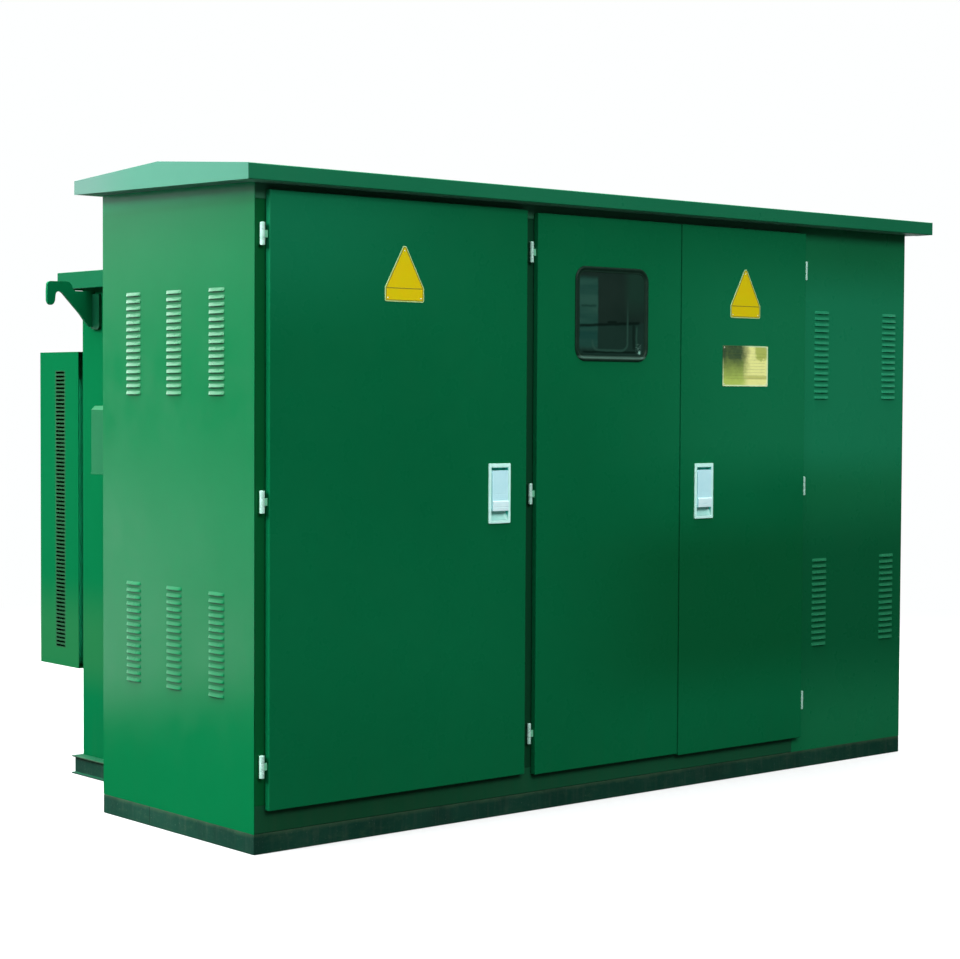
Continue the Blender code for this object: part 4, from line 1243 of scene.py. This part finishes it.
slotted_guard()
bm = bmesh.new()
gx0, gx1, gy0, gy1, gz0, gz1 = GUARD
rim = fillet([(gx0, gy0), (gx1, gy0), (gx1, gy1), (gx0, gy1)], [0, 0, 0.004, 0.004], 4, closed=True)
for z0, z1 in ((gz0, gz0 + 0.0021), (gz1 - 0.0021, gz1)):
    prism(bm, [tuple(p) for p in rim], "z", z0, z1, 0.0006, 2)
emit("radiator_guard_ends", bm, TANK, "root")

# terminal box: rounded lid edge, a narrow flange under it; its paler paint is painted sheen
bm = bmesh.new()
box_line = fillet([(0.3347, 1.0865), (0.3347, 1.318), (0.2715, 1.318), (0.2570, 1.3045), (0.2570, 1.0865)],
                  [0, 0, 0.002, 0.002, 0.0008], 3, closed=True)
prism(bm, [tuple(p) for p in box_line], "y", 1.1320, 1.3650, 0.0012, 2)
slab(bm, 0.2552, 0.3347, 1.1302, 1.3668, 1.0802, 1.0867, 0.0012, 2)
emit("terminal_box_closed", bm, TANK_BOX, "root", ("terminal_box",), angle=32)

# ------------------------------------------------------------ floor, light
bm = bmesh.new()
bmesh.ops.create_circle(bm, cap_ends=True, segments=96, radius=7.2)
me = bpy.data.meshes.new("studio_floor")
bm.to_mesh(me)
bm.free()
floor = bpy.data.objects.new("studio_floor", me)
floor.location = (0.0, 0.0, -0.0005)
bpy.context.scene.collection.objects.link(floor)
fm = Mat("studio_floor_pale")
# What the camera sees of the floor is pale and fades into the pale backdrop,
# with a soft shadow close to the object; its bounce light is kept low.
ft = fm.t
ray = ft.nodes.new("ShaderNodeLightPath")
fm.put("Base Color", fm.mix(ray.outputs["Is Camera Ray"],
                            fm.mix(ray.outputs["Is Glossy Ray"], (0.07, 0.07, 0.07), (0.015, 0.015, 0.015)),
                            fm.mix(fm.noise(1.5, 2.0), (0.79, 0.80, 0.80), (0.81, 0.82, 0.82))))
fm.put("Roughness", 0.9)
fm.put("Specular IOR Level", 0.0)
glow = ft.nodes.new("ShaderNodeEmission")
glow.inputs[0].default_value = (0.99, 1.0, 1.0, 1.0)
far = ft.nodes.new("ShaderNodeVectorMath")
far.operation = "LENGTH"
ft.links.new(fm.co, far.inputs[0])
fade = fm.math("MULTIPLY", fm.span(far.outputs["Value"], 2.2, 6.5, 0.62, 1.0, True), ray.outputs["Is Camera Ray"])
cover = ft.nodes.new("ShaderNodeMixShader")
ft.links.new(fade, cover.inputs[0])
ft.links.new(fm.b.outputs[0], cover.inputs[1])
ft.links.new(glow.outputs[0], cover.inputs[2])
# seen in reflections, the ground behind the object is sunlit
sunlit = ft.nodes.new("ShaderNodeEmission")
sunlit.inputs[0].default_value = (0.92, 0.98, 1.0, 1.0)
ft.links.new(fm.math("MULTIPLY", fm.span(fm.axis(1), 1.25, 3.1, 0.0, 4.7, True), ray.outputs["Is Glossy Ray"]),
             sunlit.inputs[1])
both = ft.nodes.new("ShaderNodeAddShader")
ft.links.new(cover.outputs[0], both.inputs[0])
ft.links.new(sunlit.outputs[0], both.inputs[1])
ft.links.new(both.outputs[0], fm.out.inputs[0])
me.materials.append(fm.m)

# The light: a soft sky, brighter overhead and to the left behind the object.
world = bpy.data.worlds.new("studio")
world.use_nodes = True
bpy.context.scene.world = world
nt = world.node_tree
nt.nodes.clear()
w_out = nt.nodes.new("ShaderNodeOutputWorld")
seen_bg = nt.nodes.new("ShaderNodeBackground")
seen_bg.inputs[0].default_value = (0.99, 1.0, 1.0, 1.0)
seen_bg.inputs[1].default_value = 1.0
sky = nt.nodes.new("ShaderNodeBackground")
sky.inputs[0].default_value = (0.92, 0.98, 1.0, 1.0)
way = nt.nodes.new("ShaderNodeTexCoord")


def sky_part(direction, lo, hi, a, b):
    dot = nt.nodes.new("ShaderNodeVectorMath")
    dot.operation = "DOT_PRODUCT"
    dot.inputs[1].default_value = Vector(direction).normalized()
    nt.links.new(way.outputs["Generated"], dot.inputs[0])
    ramp = nt.nodes.new("ShaderNodeMapRange")
    ramp.interpolation_type = "SMOOTHSTEP"
    for i, v in enumerate((lo, hi, a, b)):
        ramp.inputs[i + 1].default_value = v
    nt.links.new(dot.outputs["Value"], ramp.inputs[0])
    return ramp.outputs[0]


def sky_math(op, a, b):
    n = nt.nodes.new("ShaderNodeMath")
    n.operation = op
    nt.links.new(a, n.inputs[0])
    nt.links.new(b, n.inputs[1])
    return n.outputs[0]


# low behind and to the left: bright sky, a dim strip at the horizon, and
# bright ground below it
rise = sky_part((0.0, 0.0, 1.0), -0.004, 0.086, 0.0, 4.8)
fall = sky_part((0.0, 0.0, -1.0), 0.004, 0.062, 0.0, 5.0)
aside = sky_part((-0.35, 0.9367, 0.0), 0.940, 0.985, 0.0, 1.0)
low_light = sky_math("MULTIPLY", sky_math("ADD", rise, fall), aside)
high_light = sky_math("ADD", sky_part((0.0, 0.0, 1.0), -0.04, 0.9, 0.05, 1.0),
                      sky_part((-0.20, 0.85, 0.50), 0.870, 0.930, 0.0, 5.0))
total = sky_math("ADD", low_light, high_light)
nt.links.new(total, sky.inputs[1])
path = nt.nodes.new("ShaderNodeLightPath")
mixer = nt.nodes.new("ShaderNodeMixShader")
nt.links.new(path.outputs["Is Camera Ray"], mixer.inputs[0])
nt.links.new(sky.outputs[0], mixer.inputs[1])
nt.links.new(seen_bg.outputs[0], mixer.inputs[2])
nt.links.new(mixer.outputs[0], w_out.inputs[0])


def panel_light(name, at, to, w, h, power, colour=(1.0, 1.0, 1.0)):
    li = bpy.data.lights.new(name, "AREA")
    li.shape = "RECTANGLE"
    li.size, li.size_y = w, h
    li.energy = power
    li.color = colour
    ob = bpy.data.objects.new(name, li)
    ob.location = at
    ob.rotation_euler = (Vector(to) - Vector(at)).to_track_quat("-Z", "Y").to_euler()
    bpy.context.scene.collection.objects.link(ob)
    return ob


panel_light("overhead", (-1.2, 0.9, 7.5), (-0.6, 0.3, 0.0), 6.0, 6.0, 1500)
panel_light("left_high", (-8.5, 1.0, 6.0), (-1.5, 0.0, 1.0), 5.0, 4.0, 1300, (0.96, 1.0, 1.0))
panel_light("front_high", (-2.5, -8.5, 6.0), (0.0, -0.9, 1.0), 6.0, 3.0, 530)
panel_light("right_fill", (8.0, 1.5, 4.5), (1.5, 0.0, 1.0), 5.0, 4.0, 260)
panel_light("back_fill", (1.0, 9.0, 4.5), (0.0, 1.0, 1.0), 6.0, 4.0, 300)

# ----------------------------------------------------------------- camera
yaw, pitch, roll = math.radians(40.5903), math.radians(2.22521751), math.radians(0.29789844)
fwd = Vector((math.sin(yaw) * math.cos(pitch), math.cos(yaw) * math.cos(pitch), -math.sin(pitch)))
right = Vector((math.cos(yaw), -math.sin(yaw), 0.0))
up = right.cross(fwd)
r = right * math.cos(roll) + up * math.sin(roll)
u = up * math.cos(roll) - right * math.sin(roll)
cam_data = bpy.data.cameras.new("camera")
cam_data.lens = 81.5305
cam_data.sensor_width = 36.0
cam_data.sensor_fit = "HORIZONTAL"
cam_data.clip_end = 200.0
cam = bpy.data.objects.new("camera", cam_data)
cam.matrix_world = Matrix(((r.x, u.x, -fwd.x, -5.143057), (r.y, u.y, -fwd.y, -6.164722),
                           (r.z, u.z, -fwd.z, 1.362569), (0, 0, 0, 1)))
bpy.context.scene.collection.objects.link(cam)
bpy.context.scene.camera = cam
bpy.context.scene.view_settings.view_transform = "Standard"
